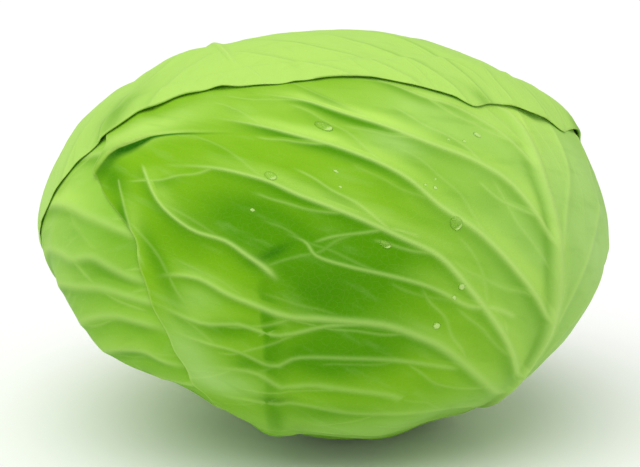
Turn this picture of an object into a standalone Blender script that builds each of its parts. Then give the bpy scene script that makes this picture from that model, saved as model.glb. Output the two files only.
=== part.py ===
"""A flat-topped green cabbage head, resting on its underside with the cut stalk low at the right.

The head is modelled as it grows: a stalk whose core tapers into a dense heart of packed inner leaves,
and six separate wrapper leaves laid over each other in the order of a leaf spiral. Every leaf is a
sheet with its own margin, midrib and side veins. It bends over the edges of the leaves beneath it.

Directions are taken from the head's centre. A surface is a radius for each direction, so the pieces
can be stacked: the heart, then each leaf's thickness and the air under it, out to the head's skin.
"""

import math
from dataclasses import dataclass

import bmesh
import bpy
import numpy as np
from mathutils import Vector

# The whole head, in metres
CENTRE = np.array([0.0, 0.0, 0.0668])
HALF_WIDTH = 0.115
HALF_DEPTH = 0.0965
HALF_HEIGHT = 0.088

# The ellipsoid is trimmed by soft flats. Each has the angle that it faces in a view from the front
# tilted down by VIEW_TILT (0 right, 90 up), and its distance. Those that face up or down have a twin
# that leans to the other side, a little further out, so that the back is trimmed as the front is.
VIEW_TILT = math.radians(12)
SOFT_FLATS = (
    (0, 0.130),
    (27, 0.134),
    (62, 0.097),
    (95, 0.082),
    (130, 0.104),
    (160, 0.125),
    (185, 0.143),
    (210, 0.120),
    (236, 0.074),
    (262, 0.076),
    (296, 0.087),
    (328, 0.109),
)
TWIN_OFFSET = 0.002
SOFTNESS = 7

# Stalk: the direction it points, the cut end's place along it, and the taper of its core
STALK_WAY = np.array([0.42, 0.16, -0.88])
STALK_RADIUS = 0.0135
STALK_END = 0.0668
CORE_TIP = 0.020
CORE_TIP_RADIUS = 0.006
STALK_SIDES = 28
STALK_GAP = 0.0004

# Wrapper leaves: sheet, air gap, and how the next leaf bends down past a margin
BLADE = 0.0011
AIR = 0.0018
SHELF = 0.012
RAMP = 0.014
RAMP_GROWTH = 0.007
SETTLING = 0.040
PLANE_RADIUS = 0.085
STALK_CLEARANCE = math.radians(13)
MIDRIB_RISE = 0.0034
VEIN_RISE = 0.0011
MARGIN_LIFT = 0.0016
LIFT_WIDTH = 0.008
SCALLOP = 0.0022
LEAFSTALK_HALF_WIDTH = 0.015
MIDRIB_GATHER = 1.25
VEIN_SLANT = 0.22


def unit(vector):
    """A vector, or each row of an array, at length 1."""
    vector = np.asarray(vector, dtype=float)
    return vector / np.linalg.norm(vector, axis=-1, keepdims=True)


STALK_WAY = unit(STALK_WAY)
CROWN_WAY = -STALK_WAY
RIGHT_WAY = unit(np.array([1.0, 0.0, 0.0]) - CROWN_WAY * CROWN_WAY[0])
FRONT_WAY = np.cross(CROWN_WAY, RIGHT_WAY) * -1


def smooth_step(value):
    """0 below 0, 1 above 1, and a smooth rise between."""
    value = np.clip(value, 0, 1)
    return value * value * (3 - 2 * value)


def skin_radius(way):
    """The head's outer radius in each direction, before the underside is flattened."""
    total = np.linalg.norm(way / (HALF_WIDTH, HALF_DEPTH, HALF_HEIGHT), axis=-1) ** SOFTNESS
    for degrees, distance in SOFT_FLATS:
        angle = math.radians(degrees)
        across, up = math.cos(angle), math.sin(angle)
        for lean, offset in ((VIEW_TILT, 0), (-VIEW_TILT, TWIN_OFFSET)):
            facing = np.array([across, up * math.sin(lean), up * math.cos(lean)])
            total = total + (np.maximum(way @ facing, 0) / (distance + offset)) ** SOFTNESS
    return total ** (-1 / SOFTNESS)


def ground_radius(way):
    """How far it is from the head's centre down to the surface that it rests on."""
    return np.where(way[:, 2] < -0.01, CENTRE[2] / np.maximum(-way[:, 2], 0.01), 10.0)


@dataclass(frozen=True)
class Leaf:
    """A wrapper leaf: where it grows, and how far its blade reaches from its own middle.

    azimuth is the leaf's side of the head about the stalk, 0 in front and 90 at the right. middle is
    the angle from the stalk to the blade's middle. reaches are millimetres to the margin every 30
    degrees, from the tip round by the leaf's right side. bow is how far the midrib swings sideways,
    in millimetres. cells is the number of grid cells across the blade.
    """

    name: str
    azimuth: float
    middle: float
    reaches: tuple
    bow: float
    waves: int
    cells: int
    colour: tuple

    def frame(self):
        """Directions of the blade's middle, towards its tip and towards its right side."""
        side = math.radians(self.azimuth)
        tilt = math.radians(self.middle)
        outward = FRONT_WAY * math.cos(side) + RIGHT_WAY * math.sin(side)
        middle = STALK_WAY * math.cos(tilt) + outward * math.sin(tilt)
        tip = outward * math.cos(tilt) - STALK_WAY * math.sin(tilt)
        return middle, tip, np.cross(tip, middle)

    def reach(self, heading):
        """Distance in metres from the blade's middle to its margin, at angles from the tip."""
        step = math.radians(30)
        place = np.mod(heading, 2 * math.pi) / step
        index = np.floor(place).astype(int)
        part = place - index
        values = np.array(self.reaches) * 0.001
        before, here, after, beyond = (values[(index + shift) % 12] for shift in (-1, 0, 1, 2))
        bend = 2 * before - 5 * here + 4 * after - beyond
        twist = 3 * (here - after) + beyond - before
        curve = here + 0.5 * part * (after - before + part * (bend + part * twist))
        scallops = np.sin(self.waves * heading + self.azimuth) + 0.5 * np.sin(3 * heading + self.waves)
        away_from_base = smooth_step((1 + np.cos(heading)) * 2)
        blade = curve + SCALLOP * scallops * away_from_base
        # The leaf's own stalk is a strip from the blade down to the cabbage's stalk, and ends there
        strip_length = PLANE_RADIUS * (math.radians(self.middle) - STALK_CLEARANCE)
        narrow = np.maximum(np.abs(np.sin(heading)), 1e-3)
        strip = np.minimum(strip_length, LEAFSTALK_HALF_WIDTH / narrow)
        towards_stalk = smooth_step(-2 * np.cos(heading))
        blade = blade + (np.minimum(blade, strip_length) - blade) * towards_stalk
        return np.maximum(blade, strip * towards_stalk)

    def way(self, distance, heading):
        """Directions at a distance along the head's surface from the blade's middle."""
        middle, tip, right = self.frame()
        angle = (distance / PLANE_RADIUS)[:, None]
        sideways = tip * np.cos(heading)[:, None] + right * np.sin(heading)[:, None]
        return middle * np.cos(angle) + sideways * np.sin(angle)

    def inset(self, way):
        """Distance in metres inside the leaf's margin, negative outside it."""
        middle, tip, right = self.frame()
        distance = np.arccos(np.clip(way @ middle, -1, 1)) * PLANE_RADIUS
        return self.reach(np.arctan2(way @ right, way @ tip)) - distance

    def cover(self, way, leaves_between=0):
        """1 under the leaf and a shelf past its margin, then a ramp down to 0.

        The ramp is longer for each leaf between this one and the one that bends over its margin, so
        a buried margin shows through as a softer and softer step.
        """
        ramp = RAMP + RAMP_GROWTH * leaves_between
        return smooth_step((self.inset(way) + SHELF + ramp) / ramp)

    def shade(self, way):
        """Where ribs beneath this leaf lie flat: under it and a wider strip past its margin."""
        return smooth_step((self.inset(way) + SHELF + 2.6 * RAMP) / RAMP)

    def settled(self, way):
        """The same cover spread so widely that it leaves no step, which the heart gives way by."""
        return smooth_step(self.inset(way) / (2 * SETTLING) + 0.5)


# From the innermost wrapper leaf to the outermost
LEAVES = (
    Leaf("left_rear_leaf", -136, 62, (118, 114, 100, 90, 80, 72, 72, 72, 84, 96, 108, 116), 4, 9, 20,
         (0.42, 0.60, 0.22)),
    Leaf("under_leaf", 1.5, 62, (122, 112, 98, 90, 80, 70, 72, 70, 82, 92, 106, 118), -5, 10, 20,
         (0.38, 0.58, 0.18)),
    Leaf("right_rear_leaf", 139, 62, (120, 116, 104, 92, 80, 72, 72, 72, 84, 98, 110, 118), 6, 8, 20,
         (0.40, 0.60, 0.22)),
    Leaf("left_leaf", -83.5, 72, (116, 128, 134, 104, 78, 72, 87, 78, 84, 92, 100, 108), -6, 11, 20,
         (0.24, 0.50, 0.07)),
    Leaf("front_leaf", 54, 62, (112, 88, 76, 76, 72, 68, 72, 80, 98, 118, 140, 168), -18, 13, 20,
         (0.30, 0.56, 0.10)),
    Leaf("cap_leaf", 191.5, 105, (164, 148, 130, 112, 100, 104, 136, 116, 124, 152, 177, 175), 8, 12, 26,
         (0.42, 0.68, 0.20)),
)


def layer_radius(index, way):
    """Outer radius of a leaf's sheet, or of the heart for index -1, in each direction.

    Each layer lies one pitch over the leaves beneath it. The heart gives way by a widely spread share
    of all the leaves, so the stack's outside stays near the skin. Where the head rests, each layer
    stays a pitch over the ground for every leaf between the two.
    """
    pitch = BLADE + AIR
    settled = sum(leaf.settled(way) for leaf in LEAVES)
    beneath = sum(LEAVES[lower].cover(way, index - lower - 1) for lower in range(max(index, 0)))
    above = sum(LEAVES[upper].cover(way, upper - index - 1) for upper in range(index + 1, len(LEAVES)))
    own = 1 if index >= 0 else 0
    return np.minimum(skin_radius(way) + pitch * (beneath + own - settled), ground_radius(way) - pitch * above)


def round_grid(across, along):
    """Bends a square grid, -1 to 1 each way, to a disc: each point's size and heading from the tip.

    The middle column stays straight, along the midrib, with its neighbours gathered towards it. The
    rows slant forward on both sides, as side veins do.
    """
    column = np.sign(across) * np.abs(across) ** MIDRIB_GATHER
    row = along + VEIN_SLANT * np.abs(column) * (1 - along * along)
    size = np.maximum(np.abs(row), np.abs(column))
    share = math.pi / 4 / np.maximum(size, 1e-9)
    beside = np.sign(column) * (math.pi / 2 - share * row)
    ahead = share * column
    behind = math.pi - share * column
    end = np.where(row >= 0, ahead, behind)
    return size, np.where(np.abs(row) >= np.abs(column), end, beside)


def ribs(leaf, across, along, size):
    """Height of the midrib on the middle column and of a side vein on every second row."""
    cell = 2 / leaf.cells
    on_midrib = np.abs(across) < 0.25 * cell
    on_vein = np.round((along + 1) / cell).astype(int) % 2 == 1
    midrib = MIDRIB_RISE * (0.3 + 0.7 * smooth_step((0.8 - along) / 1.6)) * on_midrib
    vein = VEIN_RISE * on_vein * smooth_step((1 - size) / 0.15)
    return np.maximum(midrib, vein)


def leaf_points(index, across, along, outer):
    """Places of a leaf's grid points, where outer says which points are on the outside."""
    leaf = LEAVES[index]
    size, heading = round_grid(across, along)
    distance = size * leaf.reach(heading)
    # The midrib bows sideways in the leaf's own plane, least at the margin
    sideways = distance * np.sin(heading) + leaf.bow * 0.001 * (1 - size) ** 2
    forward = distance * np.cos(heading)
    way = leaf.way(np.hypot(sideways, forward), np.arctan2(sideways, forward))

    shades = [upper.shade(way) for upper in LEAVES[index + 1:]]
    bare = 1 - np.max([np.zeros(len(way)), *shades], axis=0)
    wave = 0.6 + 0.4 * np.sin(leaf.waves * heading + 2 * leaf.azimuth)
    inset = leaf.reach(heading) - distance
    lift = MARGIN_LIFT * wave * np.exp(-inset / LIFT_WIDTH) * bare

    radius = layer_radius(index, way) + lift + np.where(outer, ribs(leaf, across, along, size) * bare, -BLADE)
    radius = np.minimum(radius, ground_radius(way) - np.where(outer, 0, BLADE))
    return CENTRE + way * radius[:, None]


def make_material(name, colour, roughness):
    """A plain Principled finish."""
    material = bpy.data.materials.new(name)
    material.use_nodes = True
    shader = material.node_tree.nodes["Principled BSDF"]
    shader.inputs["Base Color"].default_value = (*colour, 1)
    shader.inputs["Roughness"].default_value = roughness
    shader.inputs["Metallic"].default_value = 0
    return material


def add_object(name, mesh, collection, material):
    """Puts a mesh into the scene as a named object with its own finish."""
    item = bpy.data.objects.new(name, mesh)
    collection.objects.link(item)
    mesh.materials.append(material)
    mesh.shade_smooth()
    return item


def place_vertices(bm, places):
    """Moves every vertex to its computed place."""
    for vertex, place in zip(bm.verts, places):
        vertex.co = place


def make_leaf(index, collection):
    """A leaf is a grid given a second side by extrusion, then both sides bent into place.

    It is split into triangles before it is extruded, so that both faces are split alike.
    """
    leaf = LEAVES[index]
    bm = bmesh.new()
    bmesh.ops.create_grid(bm, x_segments=leaf.cells, y_segments=leaf.cells, size=1)
    bmesh.ops.triangulate(bm, faces=bm.faces[:])
    extruded = bmesh.ops.extrude_face_region(bm, geom=bm.faces[:], use_keep_orig=True)
    outside = {item for item in extruded["geom"] if isinstance(item, bmesh.types.BMVert)}
    grid = np.array([vertex.co[:] for vertex in bm.verts])
    outer = np.array([vertex in outside for vertex in bm.verts])
    place_vertices(bm, leaf_points(index, grid[:, 0], grid[:, 1], outer))
    bmesh.ops.recalc_face_normals(bm, faces=bm.faces[:])
    mesh = bpy.data.meshes.new(leaf.name)
    bm.to_mesh(mesh)
    bm.free()
    return add_object(leaf.name, mesh, collection, make_material(leaf.name, leaf.colour, 0.55))


def make_turned(name, profile, collection, material):
    """A round piece about the stalk's line: a profile turned by a Screw modifier."""
    mesh = bpy.data.meshes.new(name)
    points = [(radius, 0, height) for radius, height in profile]
    mesh.from_pydata(points, [(i, i + 1) for i in range(len(points) - 1)], [])
    item = add_object(name, mesh, collection, material)
    item.location = CENTRE
    item.rotation_euler = Vector(STALK_WAY).to_track_quat("Z", "Y").to_euler()
    screw = item.modifiers.new("turn", "SCREW")
    screw.steps = STALK_SIDES
    screw.render_steps = STALK_SIDES
    screw.use_merge_vertices = True
    screw.merge_threshold = 0.0001
    return item


def stalk_profile(gap, end):
    """Radius and height of the stalk from its cut end down to the tip of its core."""
    neck = STALK_END - 0.014
    return [
        (0, end),
        (STALK_RADIUS + gap, end),
        (STALK_RADIUS + 0.0006 + gap, STALK_END - 0.004),
        (STALK_RADIUS - 0.0010 + gap, neck),
        (CORE_TIP_RADIUS + gap, CORE_TIP + 0.006),
        (0, CORE_TIP - gap),
    ]


def make_heart(collection, cutter):
    """The dense head of packed inner leaves: a ball shaped to the layers on it, with a socket for the core."""
    bm = bmesh.new()
    bmesh.ops.create_icosphere(bm, subdivisions=4, radius=1)
    way = unit(np.array([vertex.co[:] for vertex in bm.verts]))
    place_vertices(bm, CENTRE + way * layer_radius(-1, way)[:, None])
    mesh = bpy.data.meshes.new("heart")
    bm.to_mesh(mesh)
    bm.free()
    heart = add_object("heart", mesh, collection, make_material("heart", (0.55, 0.68, 0.32), 0.5))
    socket = heart.modifiers.new("core socket", "BOOLEAN")
    socket.operation = "DIFFERENCE"
    socket.solver = "EXACT"
    socket.object = cutter
    return heart


def main():
    for item in list(bpy.data.objects):
        bpy.data.objects.remove(item)
    head = bpy.data.collections.new("cabbage_head")
    cutters = bpy.data.collections.new("cutters")
    bpy.context.scene.collection.children.link(head)
    bpy.context.scene.collection.children.link(cutters)

    stalk_finish = make_material("stalk", (0.72, 0.70, 0.48), 0.6)
    make_turned("stalk", stalk_profile(0, STALK_END), head, stalk_finish)
    cutter = make_turned("core_cutter", stalk_profile(STALK_GAP, STALK_END + 0.02), cutters, stalk_finish)
    cutter.hide_render = True
    cutter.display_type = "WIRE"
    make_heart(head, cutter)
    for index in range(len(LEAVES)):
        make_leaf(index, head)


main()
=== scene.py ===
"""Looks of a flat-topped green cabbage head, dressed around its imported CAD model.

Each wrapper leaf is one thin sheet that repeats the CAD leaf's own formulas at a finer pitch: a radius
from the head's centre for each direction, one sheet and one film of air further out for each leaf
beneath. Places on a leaf are millimetres in its own plane, x towards its right side and y towards its
tip, measured along the head's surface from the middle of its blade.
"""

import logging
import math
from dataclasses import dataclass
from enum import Enum
from typing import Union

import bpy
import numpy as np
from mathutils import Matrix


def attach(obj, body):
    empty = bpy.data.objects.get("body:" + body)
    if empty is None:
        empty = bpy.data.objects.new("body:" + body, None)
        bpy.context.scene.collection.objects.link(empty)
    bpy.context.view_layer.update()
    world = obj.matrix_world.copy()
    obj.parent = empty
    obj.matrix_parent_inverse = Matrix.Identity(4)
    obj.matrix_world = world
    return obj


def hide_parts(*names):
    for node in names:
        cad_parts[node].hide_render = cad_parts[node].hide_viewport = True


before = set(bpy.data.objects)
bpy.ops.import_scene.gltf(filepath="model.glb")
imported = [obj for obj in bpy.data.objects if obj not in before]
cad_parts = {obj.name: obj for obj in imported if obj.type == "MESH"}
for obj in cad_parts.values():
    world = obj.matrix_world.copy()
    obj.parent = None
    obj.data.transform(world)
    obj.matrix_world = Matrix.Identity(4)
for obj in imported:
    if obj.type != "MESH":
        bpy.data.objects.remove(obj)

log = logging.getLogger("cabbage")

# A gap that stands for out of reach
FAR = 99.0
# Metres in a millimetre
MM = 0.001
# How many lanes a leaf's ribs are shared out among
LANES = 4
# How far from a rib's line its flank is worked out, in millimetres
RIB_REACH = 16.0
# What is added to a leaf's place in the stack to seed its side veins, ripples and buckles
BRANCH_SEED = 7
RIPPLE_SEED = 20
BUCKLE_SEEDS = (40, 50)


def unit(vector: np.ndarray) -> np.ndarray:
    """Give a vector, or each row of an array, the length 1."""
    vector = np.asarray(vector, dtype=float)
    return vector / np.linalg.norm(vector, axis=-1, keepdims=True)


def smooth_step(value: np.ndarray) -> np.ndarray:
    """Rise smoothly from 0 at or below 0 to 1 at or above 1."""
    value = np.clip(value, 0, 1)
    return value * value * (3 - 2 * value)


def even_turns(count: int) -> np.ndarray:
    """Angles of evenly spaced spokes, in radians."""
    return np.arange(count) / count * 2 * math.pi


def cubic(knots: list, part: np.ndarray) -> np.ndarray:
    """Pass from the second of four knots to the third along a Catmull-Rom cubic.

    At each of the two the curve runs parallel to the line between the knots on either side of it.

    Args:
        knots: the four, as numbers or arrays.
        part: share of the way, 0 to 1.

    Returns:
        The values there.
    """
    before, here, after, beyond = knots
    bend = 2 * before - 5 * here + 4 * after - beyond
    twist = 3 * (here - after) + beyond - before
    return here + 0.5 * part * (after - before + part * (bend + part * twist))


def smooth_line(points: tuple, steps: int = 4) -> np.ndarray:
    """Draw a smooth line through given points, each stretch a cubic of the four around it.

    Args:
        points: places in millimetres, in order.
        steps: short segments for each stretch.

    Returns:
        The line's points, one row each.
    """
    knots = np.array(points, dtype=float)
    knots = np.vstack([2 * knots[0] - knots[1], knots, 2 * knots[-1] - knots[-2]])
    part = (np.arange(steps) / steps)[None, :, None]
    curve = cubic([knots[shift:len(knots) - 3 + shift, None, :] for shift in range(4)], part)
    return np.vstack([curve.reshape(-1, knots.shape[1]), knots[-2:-1]])


def soft_noise(places: np.ndarray, size: float, seed: int) -> np.ndarray:
    """Vary smoothly between -1 and 1 over the plane.

    Seeded numbers stand on a square lattice, and each place takes the smooth-step blend of the four
    around it. The lattice repeats, and its start lies far off, so that no index is negative.

    Args:
        places: points in millimetres, one row each.
        size: spacing of the lattice in millimetres.
        seed: picks the numbers.

    Returns:
        One value for each place.
    """
    side, far_off = 64, 1000.5
    lattice = np.random.RandomState(seed).uniform(-1, 1, (side, side))
    scaled = places / size + far_off
    corner = np.floor(scaled).astype(int)
    right, up = smooth_step(scaled - corner).T
    low, high = (corner % side).T, ((corner + 1) % side).T
    near_side = lattice[low[0], low[1]] * (1 - up) + lattice[low[0], high[1]] * up
    far_side = lattice[high[0], low[1]] * (1 - up) + lattice[high[0], high[1]] * up
    return near_side * (1 - right) + far_side * right


class Tone(Enum):
    """Which way a patch of a leaf departs from the leaf's own green. A few deep patches are
    painted shade, and the pale tone also takes the painted light above ribs.
    """

    DEEP = 0
    PALE = 1
    COOL = 2
    DARK = 3


@dataclass(frozen=True)
class Patch:
    """A soft-edged patch of colour: its centre, half sizes and turn in the leaf's plane."""

    x: float
    y: float
    across: float
    along: float
    turn: float
    strength: float
    tone: Tone

    def amount(self, places: np.ndarray) -> np.ndarray:
        """Strength times a bell curve of the distance, in half sizes, from the patch's centre.

        Args:
            places: points in the leaf's plane, one row each.

        Returns:
            One share for each place.
        """
        angle = math.radians(self.turn)
        offset = places - (self.x, self.y)
        ahead = (offset[:, 0] * math.cos(angle) + offset[:, 1] * math.sin(angle)) / self.across
        aside = (offset[:, 1] * math.cos(angle) - offset[:, 0] * math.sin(angle)) / self.along
        return self.strength * np.exp(-ahead * ahead - aside * aside)


@dataclass(frozen=True)
class LooseEdge:
    """A stretch of the margin that stands out, or is tucked in: centre, half size and height."""

    x: float
    y: float
    size: float
    height: float

    def amount(self, places: np.ndarray) -> np.ndarray:
        """Height times a bell curve of the distance from the centre."""
        return self.height * np.exp(-((places - (self.x, self.y)) ** 2).sum(axis=1) / self.size ** 2)


@dataclass(frozen=True)
class Vein:
    """A rib along listed points, with its half width and height at the start and at the end.

    The blade stands up to a rib on its upper flank and falls away steeply on the other. flank is how
    much of the height that takes, and dark how much painted shade lies on the falling side. falls is
    the side that it falls to along the rib: 1 left, -1 right, and 0 the one that looks towards the
    leaf's base. pale is how much paler than the blade its crest is, and also scales the painted light
    on its upper flank. It fades in and out over shares of its length.
    """

    points: tuple
    width: tuple = (0.95, 0.5)
    height: tuple = (0.85, 0.4)
    flank: float = 0.7
    dark: float = 0.6
    falls: int = 0
    pale: float = 1.0
    fade_in: float = 0.04
    fade_out: float = 0.15

    def near(self, places: np.ndarray) -> tuple:
        """Measure places near the rib against it.

        The gap to a place is the shortest to any segment of the smooth line, in millimetres, and
        positive on the side that the rib falls to.

        Args:
            places: points in the leaf's plane, one row each.

        Returns:
            Indices of the places near enough, their signed gaps, the rib's half width and height
            there, its strength, which fades to its ends, and the share of its length.
        """
        line = smooth_line(self.points)
        falls = self.falls or (-1 if line[-1, 0] > line[0, 0] else 1)
        low, high = line.min(axis=0) - RIB_REACH, line.max(axis=0) + RIB_REACH
        index = np.flatnonzero(np.all((places > low) & (places < high), axis=1))
        start = line[:-1]
        step = line[1:] - start
        offset = places[index, None, :] - start
        share = np.clip((offset * step).sum(axis=2) / (step * step).sum(axis=1), 0, 1)
        square = ((offset - share[..., None] * step) ** 2).sum(axis=2)
        best = square.argmin(axis=1)
        row = np.arange(len(index))
        turn = step[best, 0] * offset[row, best, 1] - step[best, 1] * offset[row, best, 0]
        along = (best + share[row, best]) / len(step)
        width = self.width[0] + (self.width[1] - self.width[0]) * along
        height = self.height[0] + (self.height[1] - self.height[0]) * along
        strength = smooth_step((1 - along) / self.fade_out) * smooth_step(along / self.fade_in)
        gap = np.sqrt(square[row, best]) * np.where(turn > 0, falls, -falls)
        return index, gap, width, height, strength, along


@dataclass(frozen=True)
class Pleat:
    """A fold where the blade doubles over itself: its edge, how far it stands out and hangs over.

    Lengths are millimetres, and shares are of the edge's length. Its height dies away over the depth
    and its overhang over the slide depth. The blade is pressed in at a distance past the edge, over a
    breadth. The painted shadow in the hollow under the edge has a breadth at the start and one at the
    end, and narrows from one share on over another. It is darkest at a share, over a spread.
    """

    points: tuple
    height: float = 2.0
    overhang: float = 0.8
    depth: float = 12.0
    slide_depth: float = 6.0
    step: float = 2.4
    reach: float = 14.0
    fade_out: float = 0.4
    press: float = 0.5
    press_at: float = 3.0
    press_breadth: float = 2.0
    hollow: tuple = (5.0, 1.4)
    narrows: tuple = (0.35, 0.4)
    darkest: tuple = (0.55, 0.5)
    dark_fade_out: float = 0.2

    def shift(self, places: np.ndarray) -> tuple:
        """Lift and slide the strip beside the edge, and press the blade just past it.

        The lift jumps up over the step's width at the edge and dies away over the depth. The slide
        carries the edge over the blade beyond it.

        Args:
            places: points in the leaf's plane, one row each.

        Returns:
            Outward lift and a slide in the plane, in millimetres, and for each place, as one row, how
            far it lies below the edge, the same in widths of the hollow, and how dark the painted shadow
            is.
        """
        line = smooth_line(self.points)
        index, gap, _, _, _, along = Vein(self.points, falls=-1).near(places)
        near, below, wide, dark = np.tile([0.0, FAR, 1.0, 0.0], (len(places), 1)).T
        close = smooth_step(1 + gap / self.reach) * smooth_step(1 - gap / self.reach)
        near[index] = smooth_step((1 - along) / self.fade_out) * close
        narrowed = smooth_step((along - self.narrows[0]) / self.narrows[1])
        wide[index] = self.hollow[0] + (self.hollow[1] - self.hollow[0]) * narrowed
        darkness = np.exp(-((along - self.darkest[0]) / self.darkest[1]) ** 2)
        dark[index] = darkness * smooth_step((1 - along) / self.dark_fade_out)
        below[index] = gap
        edge = smooth_step(0.5 - below / self.step)
        above = np.maximum(-below, 0)
        pressed = self.press * np.exp(-((below - self.press_at) / self.press_breadth) ** 2)
        lift = near * (self.height * edge * np.exp(-above / self.depth) - pressed)
        way = line[-1] - line[0]
        down = np.array([way[1], -way[0]]) / np.hypot(*way)
        slide = near * self.overhang * edge * np.exp(-above / self.slide_depth)
        return lift, slide[:, None] * down, np.column_stack([below, below / wide, dark])


@dataclass(frozen=True)
class HeadForm:
    """The whole head: an ellipsoid trimmed by soft flats, resting on the floor.

    Each flat has the angle that it faces in a view from the front tilted down by view_tilt (0 right,
    90 up), and its distance. Those that face up or down have a twin that leans to the other side.
    Each bump has its direction, its spread in radians and its height in millimetres.
    """

    centre: tuple = (0.0, 0.0, 0.0668)
    half_sizes: tuple = (0.115, 0.0965, 0.088)
    view_tilt: float = math.radians(12)
    flats: tuple = (
        (0, 0.130),
        (27, 0.134),
        (62, 0.097),
        (95, 0.082),
        (130, 0.104),
        (160, 0.125),
        (185, 0.143),
        (210, 0.120),
        (236, 0.074),
        (262, 0.076),
        (296, 0.087),
        (328, 0.109),
    )
    twin_offset: float = 0.002
    softness: float = 7
    end_fullness: float = 0.014
    bumps: tuple = (
        (-0.75, -0.60, -0.27, 0.17, 4.2),
        (-0.90, -0.43, -0.07, 0.12, -1.2),
        (-0.81, -0.56, -0.20, 0.08, -0.6),
        (-0.56, -0.68, -0.47, 0.13, -1.5),
        (-0.32, -0.74, -0.59, 0.10, -0.8),
        (-0.92, -0.40, 0.14, 0.12, 0.8),
        (-0.58, -0.08, 0.80, 0.13, 1.6),
        (0.0, -0.08, 1.0, 0.20, 0.8),
        (-0.19, -0.75, -0.63, 0.10, 3.4),
        (0.44, -0.71, -0.55, 0.15, -3.0),
        (0.70, -0.57, -0.42, 0.16, -1.0),
        (0.48, -0.52, -0.72, 0.18, -1.9),
        (0.87, -0.05, 0.49, 0.15, 1.6),
        (0.92, -0.33, 0.23, 0.13, -1.2),
        (0.96, -0.08, 0.27, 0.11, -1.6),
        (0.97, -0.26, 0.0, 0.10, 1.3),
        (0.84, -0.46, -0.30, 0.12, -0.9),
    )
    stalk_way: tuple = (0.42, 0.16, -0.88)
    plane_radius: float = 85.0

    def axes(self) -> tuple:
        """Find the head's own axes, square to each other.

        Returns:
            Directions of the stalk, the head's front and its right.
        """
        stalk = unit(np.array(self.stalk_way))
        right = unit(np.array([1.0, 0.0, 0.0]) - stalk * stalk[0])
        return stalk, -np.cross(-stalk, right), right

    def spokes(self, count: int) -> tuple:
        """Even turns round the stalk, and the directions square to it at those turns.

        Args:
            count: how many turns.

        Returns:
            The angles in radians, and one row for each direction.
        """
        _, front, right = self.axes()
        turn = even_turns(count)
        return turn, np.cos(turn)[:, None] * right - np.sin(turn)[:, None] * front

    def skin(self, way: np.ndarray) -> np.ndarray:
        """Find the outer radius in metres for each direction.

        The ellipsoid's and the flats' inverse radii are added as powers, and the root of the sum is
        the inverse of the radius. A bump adds a bell curve of the distance from its direction.

        Args:
            way: directions, one row each.

        Returns:
            One radius for each direction.
        """
        total = np.linalg.norm(way / self.half_sizes, axis=-1) ** self.softness
        for degrees, distance in self.flats:
            across, up = math.cos(math.radians(degrees)), math.sin(math.radians(degrees))
            for lean, offset in ((self.view_tilt, 0), (-self.view_tilt, self.twin_offset)):
                facing = np.array([across, up * math.sin(lean), up * math.cos(lean)])
                total = total + (np.maximum(way @ facing, 0) / (distance + offset)) ** self.softness
        radius = total ** (-1 / self.softness) * (1 + self.end_fullness * way[:, 0] ** 2)
        for x, y, z, spread, height in self.bumps:
            away = 2 - 2 * way @ unit(np.array([x, y, z]))
            radius = radius + height * MM * np.exp(-away / spread ** 2)
        return radius

    def ground(self, way: np.ndarray) -> np.ndarray:
        """Distance in metres from the centre down to the floor, and 10 where the way leads up."""
        level, nowhere = 0.01, 10.0
        return np.where(way[:, 2] < -level, self.centre[2] / np.maximum(-way[:, 2], level), nowhere)


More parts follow.
